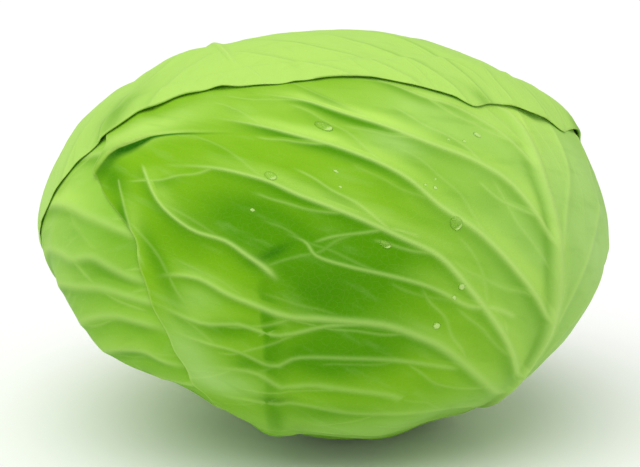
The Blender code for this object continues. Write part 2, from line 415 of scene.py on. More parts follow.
@dataclass(frozen=True)
class LeafForm:
    """A wrapper leaf: where it grows, its outline, and what is raised or coloured on it.

    azimuth is the leaf's side of the head about the stalk, 0 in front and 90 at the right. middle is
    the angle from the stalk to the blade's middle. reaches are millimetres to the margin every 30
    degrees, from the tip round by the right side. bulges add to that: heading, half width in degrees
    and millimetres. heart_of_grid is where the mesh's cells are centred. margin_lift is how far the
    margin stands out, or tucks in where it is negative, crinkle how far it buckles, and scallop how
    deeply it is waved, in millimetres. The leaf starts stalk_clearance degrees from the stalk's line.
    """

    name: str
    azimuth: float
    middle: float
    reaches: tuple
    waves: int
    cells: int
    veins: tuple
    patches: tuple
    loose: tuple = ()
    pleats: tuple = ()
    bulges: tuple = ()
    heart_of_grid: tuple = (0.0, 0.0)
    margin_lift: float = 0.8
    crinkle: float = 0.3
    scallop: float = 2.2
    stalk_clearance: float = 13.0
    leafstalk_half_width: float = 15.0

    def frame(self, head: HeadForm) -> tuple:
        """Find the leaf's own axes, square to each other.

        Args:
            head: the head that the leaf grows on.

        Returns:
            Directions of the blade's middle, towards its tip and towards its right side.
        """
        stalk, front, right = head.axes()
        side = math.radians(self.azimuth)
        tilt = math.radians(self.middle)
        outward = front * math.cos(side) + right * math.sin(side)
        middle = stalk * math.cos(tilt) + outward * math.sin(tilt)
        tip = outward * math.cos(tilt) - stalk * math.sin(tilt)
        return middle, tip, np.cross(tip, middle)

    def reach(self, heading: np.ndarray, head: HeadForm) -> np.ndarray:
        """Find the margin, in millimetres from the blade's middle, at angles from the tip.

        The reaches are joined by cubics and edged with waves of three lengths, which fade out
        towards the stalk. There the blade narrows to a strip of even width, the leaf's own stalk.

        Args:
            heading: angles in radians, from the tip round by the right side.
            head: the head that the leaf grows on.

        Returns:
            One distance for each angle.
        """
        place = np.mod(heading, 2 * math.pi) / math.radians(30)
        index = np.floor(place).astype(int)
        values = np.array(self.reaches, dtype=float)
        around = [values[(index + shift) % len(values)] for shift in (-1, 0, 1, 2)]
        curve = cubic(around, place - index)
        slow, fine, fineness = 0.5, 0.35, 3.7
        scallops = np.sin(self.waves * heading + self.azimuth) + slow * np.sin(3 * heading + self.waves)
        scallops = scallops + fine * np.sin(fineness * self.waves * heading) * np.sin(2 * heading + 1)
        blade = curve + self.scallop * scallops * smooth_step((1 + np.cos(heading)) * 2)
        for degrees, spread, amount in self.bulges:
            offset = np.mod(np.degrees(heading) - degrees + 180, 360) - 180
            blade = blade + amount * np.exp(-(offset / spread) ** 2)
        strip_length = head.plane_radius * math.radians(self.middle - self.stalk_clearance)
        aside = np.maximum(np.abs(np.sin(heading)), 1e-3)
        strip = np.minimum(strip_length, self.leafstalk_half_width / aside)
        towards_stalk = smooth_step(-2 * np.cos(heading))
        blade = blade + (np.minimum(blade, strip_length) - blade) * towards_stalk
        return np.maximum(blade, strip * towards_stalk)

    def way(self, places: np.ndarray, head: HeadForm) -> np.ndarray:
        """Find the directions from the head's centre to places in the leaf's plane.

        Args:
            places: points in the leaf's plane, one row each.
            head: the head that the plane is bent round.

        Returns:
            One direction for each place.
        """
        middle, tip, right = self.frame(head)
        distance = np.maximum(np.hypot(places[:, 0], places[:, 1]), 1e-9)
        angle = (distance / head.plane_radius)[:, None]
        sideways = (places[:, :1] * right + places[:, 1:] * tip) / distance[:, None]
        return middle * np.cos(angle) + sideways * np.sin(angle)

    def inset(self, way: np.ndarray, head: HeadForm) -> np.ndarray:
        """Measure how far inside the leaf's margin directions lie.

        Args:
            way: directions, one row each.
            head: the head that the leaf grows on.

        Returns:
            Distances in millimetres, negative outside the margin.
        """
        middle, tip, right = self.frame(head)
        distance = np.arccos(np.clip(way @ middle, -1, 1)) * head.plane_radius
        return self.reach(np.arctan2(way @ right, way @ tip), head) - distance


@dataclass(frozen=True)
class LeafStack:
    """How the leaves lie over each other: sheet, air, and how one bends down past another's margin.

    All are millimetres. blade is a sheet's thickness and thinning what it loses towards a margin that
    shows. A leaf runs on level over a shelf past the margin beneath it, then down a ramp, which grows
    with each leaf between. Each leaf's share of the settling spreads that far both ways from its
    margin, and a leaf turns plain over the bare strip beside the margin of one above.
    """

    head: HeadForm
    leaves: tuple
    blade: float = 0.7
    thinning: float = 0.35
    air: float = 0.5
    shelf: float = 1.2
    ramp: float = 5.0
    ramp_growth: float = 5.0
    settling: float = 40.0
    bare_strip: float = 4.0

    def insets(self, way: np.ndarray) -> list:
        """Distances in millimetres inside the margin of every leaf."""
        return [leaf.inset(way, self.head) for leaf in self.leaves]

    def radius(self, index: int, way: np.ndarray, insets: list) -> np.ndarray:
        """Find the outer radius of a leaf's sheet, in metres, or of the heart for index -1.

        Each layer lies one pitch over the leaves beneath it. All give way by a widely spread share of
        the leaves, so the stack's outside stays near the skin, and by a pitch over the floor for each
        leaf below.

        Args:
            index: the leaf's place in the stack.
            way: directions, one row each.
            insets: the leaves' insets in those directions.

        Returns:
            One radius for each direction.
        """
        pitch = (self.blade + self.air) * MM
        settled = sum(smooth_step(inset / (2 * self.settling) + 0.5) for inset in insets)
        beneath = sum(self.cover(insets[lower], index - lower - 1) for lower in range(max(index, 0)))
        above = sum(self.cover(insets[upper], upper - index - 1) for upper in range(index + 1, len(insets)))
        own = 1 if index >= 0 else 0
        radius = self.head.skin(way) + pitch * (beneath + own - settled)
        return np.minimum(radius, self.head.ground(way) - pitch * above)

    def cover(self, inset: np.ndarray, leaves_between: int) -> np.ndarray:
        """1 under a leaf and a shelf past its margin, then a ramp down to 0, softer under more leaves."""
        ramp = self.ramp + self.ramp_growth * leaves_between
        return smooth_step((inset + self.shelf + ramp) / ramp)

    def bare(self, index: int, insets: list) -> np.ndarray:
        """1 where a leaf shows, and 0 under the leaves over it and close to their margins."""
        strips = [smooth_step(inset / self.bare_strip + 1) for inset in insets[index + 1:]]
        return 1 - np.max([np.zeros(len(insets[0])), *strips], axis=0)


@dataclass
class Surface:
    """Points and triangles of a piece, with what its finish reads at each point."""

    points: np.ndarray
    triangles: np.ndarray
    numbers: dict

    def make(self, name: str, finish: bpy.types.Material) -> bpy.types.Object:
        """Put the surface into the scene as one smooth object on the head's body.

        Args:
            name: the object's name.
            finish: its material.

        Returns:
            The new object.
        """
        mesh = bpy.data.meshes.new(name)
        mesh.vertices.add(len(self.points))
        mesh.vertices.foreach_set("co", self.points.astype(np.float32).ravel())
        mesh.loops.add(self.triangles.size)
        mesh.loops.foreach_set("vertex_index", self.triangles.astype(np.int32).ravel())
        mesh.polygons.add(len(self.triangles))
        mesh.polygons.foreach_set("loop_start", np.arange(0, self.triangles.size, 3, dtype=np.int32))
        mesh.update(calc_edges=True)
        mesh.validate()
        mesh.shade_smooth()
        for label, values in self.numbers.items():
            kind, field = ("FLOAT_VECTOR", "vector") if values.ndim == 2 else ("FLOAT", "value")
            attribute = mesh.attributes.new(label, kind, "POINT")
            attribute.data.foreach_set(field, values.astype(np.float32).ravel())
        mesh.materials.append(finish)
        piece = bpy.data.objects.new(name, mesh)
        bpy.context.scene.collection.objects.link(piece)
        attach(piece, "root")
        log.info("%s: %d triangles", name, len(self.triangles))
        return piece


def split_quads(corners: np.ndarray) -> np.ndarray:
    """Cut each quad, a row of four corners, into two triangles."""
    return np.vstack([corners[:, [0, 1, 2]], corners[:, [0, 2, 3]]])


def grid_quads(rows: int, columns: int) -> np.ndarray:
    """Corners of the quads of a grid of points, stored row by row, turning left round each quad."""
    start = (np.arange(rows - 1)[:, None] * columns + np.arange(columns - 1)).ravel()
    return np.stack([start, start + 1, start + columns + 1, start + columns], axis=1)


def outward_quads(count: int) -> np.ndarray:
    """Find the quads of a square grid, each started so that its cut points away from the middle.

    Args:
        count: points along a side.

    Returns:
        Four corners a row.
    """
    quads = grid_quads(count, count)
    row, column = np.divmod(quads[:, 0], count)
    across = (2 * row < count - 1) != (2 * column < count - 1)
    quads[across] = np.roll(quads[across], 1, axis=1)
    return quads


def grid_rim(count: int) -> np.ndarray:
    """Find the points round the edge of a square grid, turning left.

    Args:
        count: points along a side.

    Returns:
        The points' numbers.
    """
    step = np.arange(count - 1)
    last = count - 1
    return np.concatenate([step, step * count + last, last * count + last - step, (last - step) * count])


def tube_quads(rings: int, spokes: int) -> np.ndarray:
    """Find the quads between closed rings of points.

    Args:
        rings: how many rings, stored one after another.
        spokes: points to a ring.

    Returns:
        Four corners a row.
    """
    ring, spoke = np.meshgrid(np.arange(rings - 1), np.arange(spokes), indexing="ij")
    here = (ring * spokes + spoke).ravel()
    beside = (ring * spokes + (spoke + 1) % spokes).ravel()
    return np.stack([here, beside, beside + spokes, here + spokes], axis=1)


def closed_tube(rings: int, spokes: int) -> np.ndarray:
    """Triangles of closed rings of points, with a fan to a point at each end.

    Args:
        rings: how many rings. Their points are followed by the point before them and the one after.
        spokes: points to a ring.

    Returns:
        The triangles.
    """
    spoke = np.arange(spokes)
    after = (spoke + 1) % spokes
    first, base = rings * spokes, (rings - 1) * spokes
    start = np.stack([np.full(spokes, first), after, spoke], axis=1)
    end = np.stack([np.full(spokes, first + 1), base + spoke, base + after], axis=1)
    return np.vstack([split_quads(tube_quads(rings, spokes)), start, end])


def lanes_of(ribs: tuple, side_veins: tuple, count: int, room: float = 4.5) -> list:
    """Share ribs and side veins out among lanes, so that those in one lane keep apart.

    Each in turn joins the lane whose nearest rib is furthest from it. The gap between two is the
    smallest between the points of their smooth lines, but for the first two, where a side vein leaves
    its rib. A side vein with too little room is left out.

    Args:
        ribs: the leaf's own ribs.
        side_veins: the veins that fork from them.
        count: how many lanes.
        room: the least gap that a side vein needs, in millimetres.

    Returns:
        The ribs and side veins of each lane.
    """
    lanes = [[] for _ in range(count)]
    for order, vein in enumerate(ribs + side_veins):
        line = smooth_line(vein.points)[2:]
        gaps = []
        for lane in lanes:
            apart = (np.linalg.norm(line[:, None] - other, axis=2).min() for _, other in lane)
            gaps.append(min(apart, default=FAR))
        if order < len(ribs) or max(gaps) > room:
            lanes[gaps.index(max(gaps))].append((vein, line))
    return [tuple(vein for vein, _ in lane) for lane in lanes]


def rib_map(places: np.ndarray, veins: tuple) -> tuple:
    """Measure a leaf's places against a set of ribs.

    The rise at a place is the highest of the ribs' own. Each is a narrow bell curve of the gap plus a
    flank: a gentle bell on the upper side and a steep one on the side it falls to, rooted where the
    rib starts. The shade starts at the crest and dies away down that side, and comes and goes along
    the rib in slow waves. The light lies on the upper side.

    Args:
        places: points in the leaf's plane, one row each.
        veins: the ribs.

    Returns:
        For each place, the signed and the plain gap to the nearest rib in half widths and the rib's
        strength, as one row; the rise in millimetres; the shade under ribs and the light over them.
    """
    steep, gentle, rooted = 2.6, 8.0, 0.16
    crest_edge, depth, light_at = 1.6, 3.0, -2.2
    swing, waves, shift = 0.5, 9, 7
    nearest = np.tile([FAR, FAR, 0.0], (len(places), 1))
    rise, shade, shine = np.zeros((3, len(places)))
    for vein in veins:
        index, gap, width, height, strength, along = vein.near(places)
        plain = np.abs(gap / width)
        flank = np.exp(-(gap / np.where(gap > 0, steep, gentle)) ** 2) * smooth_step(along / rooted)
        bell = height * strength * ((1 - vein.flank) * np.exp(-plain ** 2) + vein.flank * flank)
        rise[index] = np.maximum(rise[index], bell)
        middle = strength * vein.dark * np.sin(math.pi * np.clip(along, 0, 1)) ** 0.5
        middle = middle * (1 + swing * np.sin(waves * along + shift * vein.points[0][1]))
        side = smooth_step(gap / crest_edge + 1) * np.exp(-(np.maximum(gap - 1, 0) / depth) ** 2)
        shade[index] = np.maximum(shade[index], middle * side)
        light = middle * vein.pale * np.exp(-((gap - light_at) / depth) ** 2)
        shine[index] = np.maximum(shine[index], light)
        closer = plain < nearest[index, 1]
        found = np.stack([gap / width, plain, strength * vein.pale], axis=1)
        nearest[index[closer]] = found[closer]
    return nearest, rise, shade, shine


def branches_of(veins: tuple, seed: int) -> tuple:
    """Grow side veins that fork from each rib at a narrow angle and run on almost along it.

    They leave by turns to the left and the right, at even random distances and angles within the
    ranges below, in five steps that bend back a little. Each has a share of its rib's shade and
    paleness. A crease, which isn't paler than the blade, carries none.

    Args:
        veins: the ribs that carry them.
        seed: picks their spacing, angle and length.

    Returns:
        The side veins.
    """
    first, apart, bare_end, steps = (8, 22), (13, 24), 8, 5
    fork_angle, bend_back, step_length, sway = (18, 32), (1, 6), (3.5, 7.5), 0.2
    dark_share, pale_share = (0.1, 0.35), (0.2, 0.6)
    random = np.random.RandomState(seed)
    found = []
    for vein in veins:
        if vein.pale == 0:
            continue
        line = smooth_line(vein.points)
        length = np.concatenate([[0], np.cumsum(np.hypot(*np.diff(line, axis=0).T))])
        place, side = random.uniform(*first), 1
        while place < length[-1] - bare_end:
            start, beyond = (np.array([np.interp(spot, length, axis) for axis in line.T])
                             for spot in (place, place + 2))
            heading = math.atan2(*(beyond - start)[::-1]) + side * math.radians(random.uniform(*fork_angle))
            bend = -side * math.radians(random.uniform(*bend_back))
            step = random.uniform(*step_length)
            turns = heading + bend * np.arange(steps) + random.uniform(-sway, sway, steps)
            moves = step * np.stack([np.cos(turns), np.sin(turns)], axis=1)
            points = tuple(map(tuple, np.vstack([start, start + np.cumsum(moves, axis=0)])))
            dark = random.uniform(*dark_share) * vein.dark
            pale = random.uniform(*pale_share) * vein.pale
            found.append(Vein(points, (0.6, 0.5), (0.22, 0.12), 0.6, dark, 0, pale))
            place += random.uniform(*apart)
            side = -side
    return tuple(found)


@dataclass(frozen=True)
class WrapperLeaf:
    """One leaf of the stack, built as a closed sheet: a fine outer side, a coarser inner side, a rim.

    The depths are millimetres inward from the margin over which the margin's lift, its crinkle and
    its thinning die away. light_share is how pale the light above a rib makes the blade, and
    cool_shade how much of a rib's shade a cool patch takes away.
    """

    stack: LeafStack
    index: int
    wave_height: float = 0.5
    wave_size: float = 19
    ripple_height: float = 0.22
    ripple_size: float = 8
    buckle_sizes: tuple = (5, 9)
    edge_wave: tuple = (0.6, 0.4)
    coarse: int = 4
    lift_depth: float = 5
    crinkle_depth: float = 9
    thin_depth: float = 3
    light_share: float = 0.6
    cool_shade: float = 0.75

    @property
    def form(self) -> LeafForm:
        """The leaf's own shape."""
        return self.stack.leaves[self.index]

    def plane_places(self) -> tuple:
        """Spread a square grid over the leaf.

        The square becomes a disc: a point's size is the larger of its two coordinates, and its
        heading the same share of a quarter turn as the smaller is of the larger. Each point then
        lies that share of the way from the grid's heart to the margin at its heading.

        Returns:
            Places in the leaf's plane in millimetres, and the headings.
        """
        count = self.form.cells + 1
        line = np.linspace(-1, 1, count)
        along, across = (grid.ravel() for grid in np.meshgrid(line, line, indexing="ij"))
        size = np.maximum(np.abs(along), np.abs(across))
        share = math.pi / 4 / np.maximum(size, 1e-9)
        beside = np.sign(across) * (math.pi / 2 - share * along)
        end = np.where(along >= 0, share * across, math.pi - share * across)
        heading = np.where(np.abs(along) >= np.abs(across), end, beside)
        reach = self.form.reach(heading, self.stack.head)
        margin = reach[:, None] * np.stack([np.sin(heading), np.cos(heading)], axis=1)
        heart = np.array(self.form.heart_of_grid)
        return heart + size[:, None] * (margin - heart), heading

    def build(self) -> Surface:
        """Shape the leaf.

        A point's radius is the stack's own, plus the lift and the crinkle of the margin, which die
        away inward, and on the outer side the ribs, soft waves and pleats, less what the sheet loses
        towards a margin that shows. All fade out under other leaves.

        Returns:
            The closed sheet, with what its finish reads.
        """
        form, head, stack = self.form, self.stack.head, self.stack
        flat, heading = self.plane_places()
        way = form.way(flat, head)
        insets = stack.insets(way)
        inset = np.maximum(insets[self.index], 0)
        bare = stack.bare(self.index, insets)

        level, swing = self.edge_wave
        wave = level + swing * np.sin(form.waves * heading + 2 * form.azimuth)
        loose = sum((spot.amount(flat) for spot in form.loose), np.zeros(len(flat)))
        buckles = sum(soft_noise(flat, size, self.index + seed)
                      for size, seed in zip(self.buckle_sizes, BUCKLE_SEEDS))
        lift = (loose + form.margin_lift * wave) * np.exp(-inset / self.lift_depth)
        lift = lift + form.crinkle * buckles * np.exp(-inset / self.crinkle_depth)

        maps = [rib_map(flat, lane) for lane in self.lanes()]
        lines = {f"lane {number}": found[0] for number, found in enumerate(maps)}
        rise, shade, shine = np.max([found[1:] for found in maps], axis=0)
        rise = rise + self.waves(flat)
        fold = np.tile([FAR, 0.0, 0.0], (len(flat), 1))
        slide = np.zeros((len(flat), 2))
        for pleat in form.pleats:
            pleat_lift, pleat_slide, fold = pleat.shift(flat)
            rise = rise + pleat_lift
            slide = slide + pleat_slide

        base = stack.radius(self.index, way, insets)
        thin = stack.thinning * np.exp(-inset / self.thin_depth) * bare
        outer = np.minimum(base + ((lift + rise) * bare - thin) * MM, head.ground(way))
        inner = np.minimum(base + (lift * bare - stack.blade) * MM, outer - (stack.blade - thin) * MM)
        # Painted light above the ribs goes into the pale tone, and the painted shade under them into under.
        tones = np.zeros((len(flat), len(Tone)))
        tones[:, Tone.PALE.value] = self.light_share * shine
        for patch in form.patches:
            tones[:, patch.tone.value] += patch.amount(flat)
        tones = np.clip(tones, 0, 1)
        shade = shade * (1 - self.cool_shade * tones[:, Tone.COOL.value])
        numbers = {
            "plane": np.column_stack([flat, np.zeros(len(flat))]),
            "tones": tones[:, :3],
            "dark": tones[:, Tone.DARK.value],
            "under": np.clip(shade, 0, 1),
            "fold": fold,
            "inset": inset,
            **lines,
        }
        slid = form.way(flat + slide * bare[:, None], head)
        return self.close(slid * outer[:, None], way * inner[:, None], outer - inner, numbers)

    def lanes(self) -> list:
        """All the leaf's ribs and the side veins that fork from them, in lanes."""
        return lanes_of(self.form.veins, branches_of(self.form.veins, self.index + BRANCH_SEED), LANES)

    def waves(self, flat: np.ndarray) -> np.ndarray:
        """Soft waves and ripples of the blade at places in its plane, in millimetres."""
        ripples = self.ripple_height * soft_noise(flat, self.ripple_size, self.index + RIPPLE_SEED)
        return self.wave_height * soft_noise(flat, self.wave_size, self.index) + ripples

    def close(self, outer: np.ndarray, inner: np.ndarray, thick: np.ndarray, numbers: dict) -> Surface:
        """Join the two sides into a closed sheet.

        The inner side keeps every fourth point of the grid. A ring halfway between the rims, pushed
        out by a third of the thickness, rounds the edge, and fans join it to the coarser inner rim.

        Args:
            outer: points of the outer side, from the head's centre.
            inner: points of the inner side.
            thick: thickness at each point, in metres.
            numbers: what the finish reads at each point of the grid.

        Returns:
            The closed sheet.
        """
        count = self.form.cells + 1
        picks = np.arange(count * count).reshape(count, count)[::self.coarse, ::self.coarse].ravel()
        coarse_count = self.form.cells // self.coarse + 1
        rim = grid_rim(count)
        inner_rim = grid_rim(coarse_count) + count * count
        inward = unit(outer[self.one_cell_in(count)] - outer[rim])
        halfway = (outer[rim] + inner[rim]) / 2 - inward * (thick[rim] / 3)[:, None]
        middle = np.arange(len(rim)) + count * count + len(picks)

        outer_faces = split_quads(outward_quads(count))
        inner_faces = split_quads(outward_quads(coarse_count))[:, ::-1] + count * count
        after = np.roll(np.arange(len(rim)), -1)
        edge_faces = split_quads(np.stack([rim, middle, middle[after], rim[after]], axis=1))
        here, beyond = inner_rim, np.roll(inner_rim, -1)
        first = np.arange(0, len(rim), self.coarse)
        ring = [middle[(first + step) % len(rim)] for step in range(self.coarse + 1)]
        half = self.coarse // 2
        fans = [(ring[step], here, ring[step + 1]) for step in range(half)] + [(ring[half], here, beyond)]
        fans += [(ring[step], beyond, ring[step + 1]) for step in range(half, self.coarse)]
        fans = [np.stack(corners, axis=1) for corners in fans]
        order = np.concatenate([np.arange(count * count), picks, rim])
        points = np.vstack([outer, inner[picks], halfway]) + self.stack.head.centre
        numbers = {label: values[order] for label, values in numbers.items()}
        return Surface(points, np.vstack([outer_faces, inner_faces, edge_faces, *fans]), numbers)

    @staticmethod
    def one_cell_in(count: int) -> np.ndarray:
        """For each point of the grid's rim, the point one cell further in."""
        row, column = np.divmod(grid_rim(count), count)
        return np.clip(row, 1, count - 2) * count + np.clip(column, 1, count - 2)


Number = Union[float, "Value"]


class Value:
    """A number in a finish that varies over the surface. Arithmetic on it adds Math nodes."""

    def __init__(self, finish: "Finish", socket: bpy.types.NodeSocket) -> None:
        """Hold the socket that gives the number, and the finish that it belongs to."""
        self.finish = finish
        self.socket = socket

    def __add__(self, other: Number) -> "Value":
        """Add a number."""
        return self.finish.maths("ADD", self, other)

    def __radd__(self, other: Number) -> "Value":
        """Add to a number."""
        return self.finish.maths("ADD", other, self)

    def __sub__(self, other: Number) -> "Value":
        """Take a number away."""
        return self.finish.maths("SUBTRACT", self, other)

    def __rsub__(self, other: Number) -> "Value":
        """Take this from a number."""
        return self.finish.maths("SUBTRACT", other, self)

    def __mul__(self, other: Number) -> "Value":
        """Multiply by a number."""
        return self.finish.maths("MULTIPLY", self, other)

    def __rmul__(self, other: Number) -> "Value":
        """Multiply a number."""
        return self.finish.maths("MULTIPLY", other, self)

    def __truediv__(self, other: Number) -> "Value":
        """Divide by a number."""
        return self.finish.maths("DIVIDE", self, other)

    def bell(self) -> "Value":
        """1 where this is 0, falling off as e to the minus square."""
        return self.finish.maths("EXPONENT", self * self * -1, 0)

    def fade(self, low: float, high: float) -> "Value":
        """0 at low and 1 at high, smooth between and level beyond."""
        node = self.finish.add("ShaderNodeMapRange", {"interpolation_type": "SMOOTHSTEP"},
                               {"Value": self, "From Min": low, "From Max": high})
        return Value(self.finish, node.outputs["Result"])


class Finish:
    """A material under construction."""

    def __init__(self, name: str, roughness: float, specular: float) -> None:
        """Start a Principled material with its even numbers set on its own sockets."""
        self.material = bpy.data.materials.new(name)
        self.material.use_nodes = True
        self.tree = self.material.node_tree
        self.shader = self.tree.nodes["Principled BSDF"]
        self.shader.inputs["Roughness"].default_value = roughness
        self.shader.inputs["Specular IOR Level"].default_value = specular

    def add(self, kind: str, settings: dict, sockets: dict) -> bpy.types.Node:
        """Add a node.

        Args:
            kind: the node's type.
            settings: its properties, set first.
            sockets: values or links of its inputs, by name or number.

        Returns:
            The node.
        """
        node = self.tree.nodes.new(kind)
        for label, setting in settings.items():
            setattr(node, label, setting)
        for label, value in sockets.items():
            self.feed(node.inputs[label], value)
        return node

    def feed(self, socket: bpy.types.NodeSocket, value: object) -> None:
        """Link a socket to a value, or set it to a number or colour.

        Args:
            socket: the input to feed.
            value: a value, another node's output, a number or a colour.
        """
        if isinstance(value, Value):
            value = value.socket
        if isinstance(value, bpy.types.NodeSocket):
            self.tree.links.new(value, socket)
        else:
            socket.default_value = value

    def maths(self, operation: str, first: Number, second: Number) -> Value:
        """Add a Math node on two numbers."""
        node = self.add("ShaderNodeMath", {"operation": operation}, {0: first, 1: second})
        return Value(self, node.outputs[0])

    def largest(self, values: list) -> Value:
        """Take the largest of several numbers.

        Args:
            values: the numbers.

        Returns:
            Their maximum.
        """
        found = values[0]
        for value in values[1:]:
            found = self.maths("MAXIMUM", found, value)
        return found

    def read(self, label: str, output: str = "Fac") -> bpy.types.NodeSocket:
        """Read one of the piece's own attributes."""
        return self.add("ShaderNodeAttribute", {"attribute_name": label}, {}).outputs[output]

    def parts(self, label: str) -> tuple:
        """Read a vector attribute as three numbers."""
        node = self.add("ShaderNodeSeparateXYZ", {}, {"Vector": self.read(label, "Vector")})
        return tuple(Value(self, output) for output in node.outputs)

    def noise(self, vector: object, scale: float, detail: float = 2.0) -> Value:
        """Smooth noise between 0 and 1."""
        node = self.add("ShaderNodeTexNoise", {}, {"Vector": vector, "Scale": scale, "Detail": detail})
        return Value(self, node.outputs["Fac"])

    def mix(self, share: Number, first: object, second: object) -> bpy.types.NodeSocket:
        """Blend two colours, through the node's inputs 6 and 7 and its output 2, which are for colours."""
        settings = {"data_type": "RGBA", "clamp_factor": True}
        return self.add("ShaderNodeMix", settings, {"Factor": share, 6: first, 7: second}).outputs[2]

    def colour(self, value: object) -> None:
        """Set the base colour."""
        self.feed(self.shader.inputs["Base Color"], value)

    def roughness(self, value: Value) -> None:
        """Let the roughness vary."""
        self.feed(self.shader.inputs["Roughness"], value)

    def bump(self, height: Value, distance: float) -> None:
        """Raise the surface's shading by a height between 0 and 1, times a distance in metres."""
        node = self.add("ShaderNodeBump", {}, {"Strength": 1.0, "Distance": distance, "Height": height})
        self.feed(self.shader.inputs["Normal"], node.outputs["Normal"])


def paint(red: int, green: int, blue: int) -> tuple:
    """Turn a screen colour into the linear colour that a shader takes.

    Args:
        red: 0 to 255, as the others.
        green: the green part.
        blue: the blue part.

    Returns:
        Red, green, blue and an alpha of 1.
    """
    screen = np.array([red, green, blue]) / 255
    linear = np.where(screen <= 0.04045, screen / 12.92, ((screen + 0.055) / 1.055) ** 2.4)
    return (*linear.tolist(), 1.0)


@dataclass(frozen=True)
class LeafFinish:
    """Waxy leaf: a green with deep, pale and cool patches, paler ribs, a fine net and a pale margin.

    streak_turn is the way that faint streaks run, in degrees, and streaks how much they show.
    net_size is the width of the net's cells in millimetres. The shares are how much of its colour a
    rib, the net, the lip of a fold and the margin take on; on the lip it is a painted highlight. The
    leaf also carries painted shade under the ribs and under the fold, and painted light above ribs.
    """

    name: str
    green: tuple
    streak_turn: float = 0.0
    deep: tuple = paint(82, 146, 0)
    dark: tuple = paint(44, 112, 0)
    pale: tuple = paint(184, 226, 98)
    cool: tuple = paint(172, 213, 120)
    rib: tuple = paint(188, 224, 120)
    rim: tuple = paint(190, 224, 116)
    rib_share: float = 0.6
    net_share: float = 0.04
    net_size: float = 1.9
    streaks: float = 0.14
    lip_highlight_share: float = 0.5
    rim_share: float = 0.3
    relief: float = 0.0006

    def make(self) -> bpy.types.Material:
        """Build the material from the leaf's own attributes.

        Returns:
            The material.
        """
        finish = Finish(self.name, 0.5, 0.05)
        plane = finish.read("plane", "Vector")
        drift = finish.noise(plane, 0.055, 3.0)
        cloud = self.streaked(finish, plane)
        rib, under = self.rib_masks(finish)
        net = self.net(finish, plane)
        grain = finish.noise(plane, 1.4, 3.0)

        colour = self.blade(finish, drift, cloud)
        # Painted shade under the ribs, in the deep green.
        colour = finish.mix(under, colour, self.deep)
        below, widths, hollow = finish.parts("fold")
        # Painted highlight on the fold's lip, then the painted shadow under the fold.
        colour = finish.mix((below + 0.8).bell() * hollow * self.lip_highlight_share, colour, self.rim)
        shadow = below.fade(-0.3, 0.3) * widths.fade(1.1, 0.25) * hollow * 1.15
        # The darkest green takes the dark tone's patches and the painted shadow under the fold.
        dark = Value(finish, finish.read("dark"))
        colour = finish.mix(finish.largest([dark, shadow]), colour, self.dark)
        colour = finish.mix(net * self.net_share, colour, self.rib)
        colour = finish.mix(rib * self.rib_share, colour, self.rib)
        rim = Value(finish, finish.read("inset")).fade(1.0, 0.1)
        finish.colour(finish.mix(rim * self.rim_share, colour, self.rim))
        finish.roughness(0.42 + 0.16 * grain + 0.10 * drift)
        finish.bump(0.3 * rib + 0.05 * net + 0.10 * grain + 0.25 * cloud, self.relief)
        return finish.material

    def streaked(self, finish: Finish, plane: bpy.types.NodeSocket) -> Value:
        """Draw noise out to three times its length along the streaks.

        Args:
            finish: the material.
            plane: places in the leaf's plane.

        Returns:
            The noise, 0 to 1.
        """
        turn = (0.0, 0.0, math.radians(-self.streak_turn))
        turned = finish.add("ShaderNodeMapping", {}, {"Vector": plane, "Rotation": turn})
        drawn = finish.add("ShaderNodeVectorMath", {"operation": "MULTIPLY"},
                           {0: turned.outputs["Vector"], 1: (0.3, 1.0, 1.0)})
        return finish.noise(drawn.outputs["Vector"], 0.2, 4.0)

    def blade(self, finish: Finish, drift: Value, cloud: Value) -> bpy.types.NodeSocket:
        """Lay the patches over the leaf's green, uneven with the drift, and the streaks over them.

        Args:
            finish: the material.
            drift: slow noise.
            cloud: the streaks' noise.

        Returns:
            The colour.
        """
        deep, pale, cool = finish.parts("tones")
        colour = finish.mix(cool * (0.6 + 0.6 * drift), self.green, self.cool)
        colour = finish.mix(pale * (0.7 + 0.5 * drift), colour, self.pale)
        colour = finish.mix(deep * (0.65 + 0.8 * drift), colour, self.deep)
        # Pale streaks: partly the wax bloom's own tone, partly a painted sheen. Dark streaks: a deeper
        # green.
        colour = finish.mix(cloud.fade(0.52, 0.75) * self.streaks, colour, self.cool)
        return finish.mix(cloud.fade(0.48, 0.28) * self.streaks, colour, self.deep)

    def rib_masks(self, finish: Finish) -> tuple:
        """Find where the ribs' crests are and where the shade under ribs lies.

        Args:
            finish: the material.

        Returns:
            The crests' mask, and that of the shade, cut off at the upper edges.
        """
        lanes = [finish.parts(f"lane {number}") for number in range(LANES)]
        crests = [side.bell() * near.fade(2.6, 1.7) * strength for side, near, strength in lanes]
        uppers = [side.fade(0.5, -0.5) * near.fade(2.8, 2.0) * strength for side, near, strength in lanes]
        under = Value(finish, finish.read("under")) * (1 - finish.largest(uppers))
        return finish.largest(crests), under

    def net(self, finish: Finish, plane: bpy.types.NodeSocket) -> Value:
        """Draw the fine net of veins as the borders of warped cells.

        Args:
            finish: the material.
            plane: places in the leaf's plane.

        Returns:
            1 on a border, 0 inside a cell.
        """
        warp = finish.add("ShaderNodeTexNoise", {}, {"Vector": plane, "Scale": 0.25, "Detail": 1.0})
        moved = finish.add("ShaderNodeVectorMath", {"operation": "MULTIPLY_ADD"},
                           {0: warp.outputs["Color"], 1: (3.0, 3.0, 0.0), 2: plane})
        settings = {"feature": "DISTANCE_TO_EDGE", "voronoi_dimensions": "2D"}
        cells = finish.add("ShaderNodeTexVoronoi", settings,
                           {"Vector": moved.outputs["Vector"], "Scale": 1 / self.net_size})
        return Value(finish, cells.outputs["Distance"]).fade(0.10, 0.0)
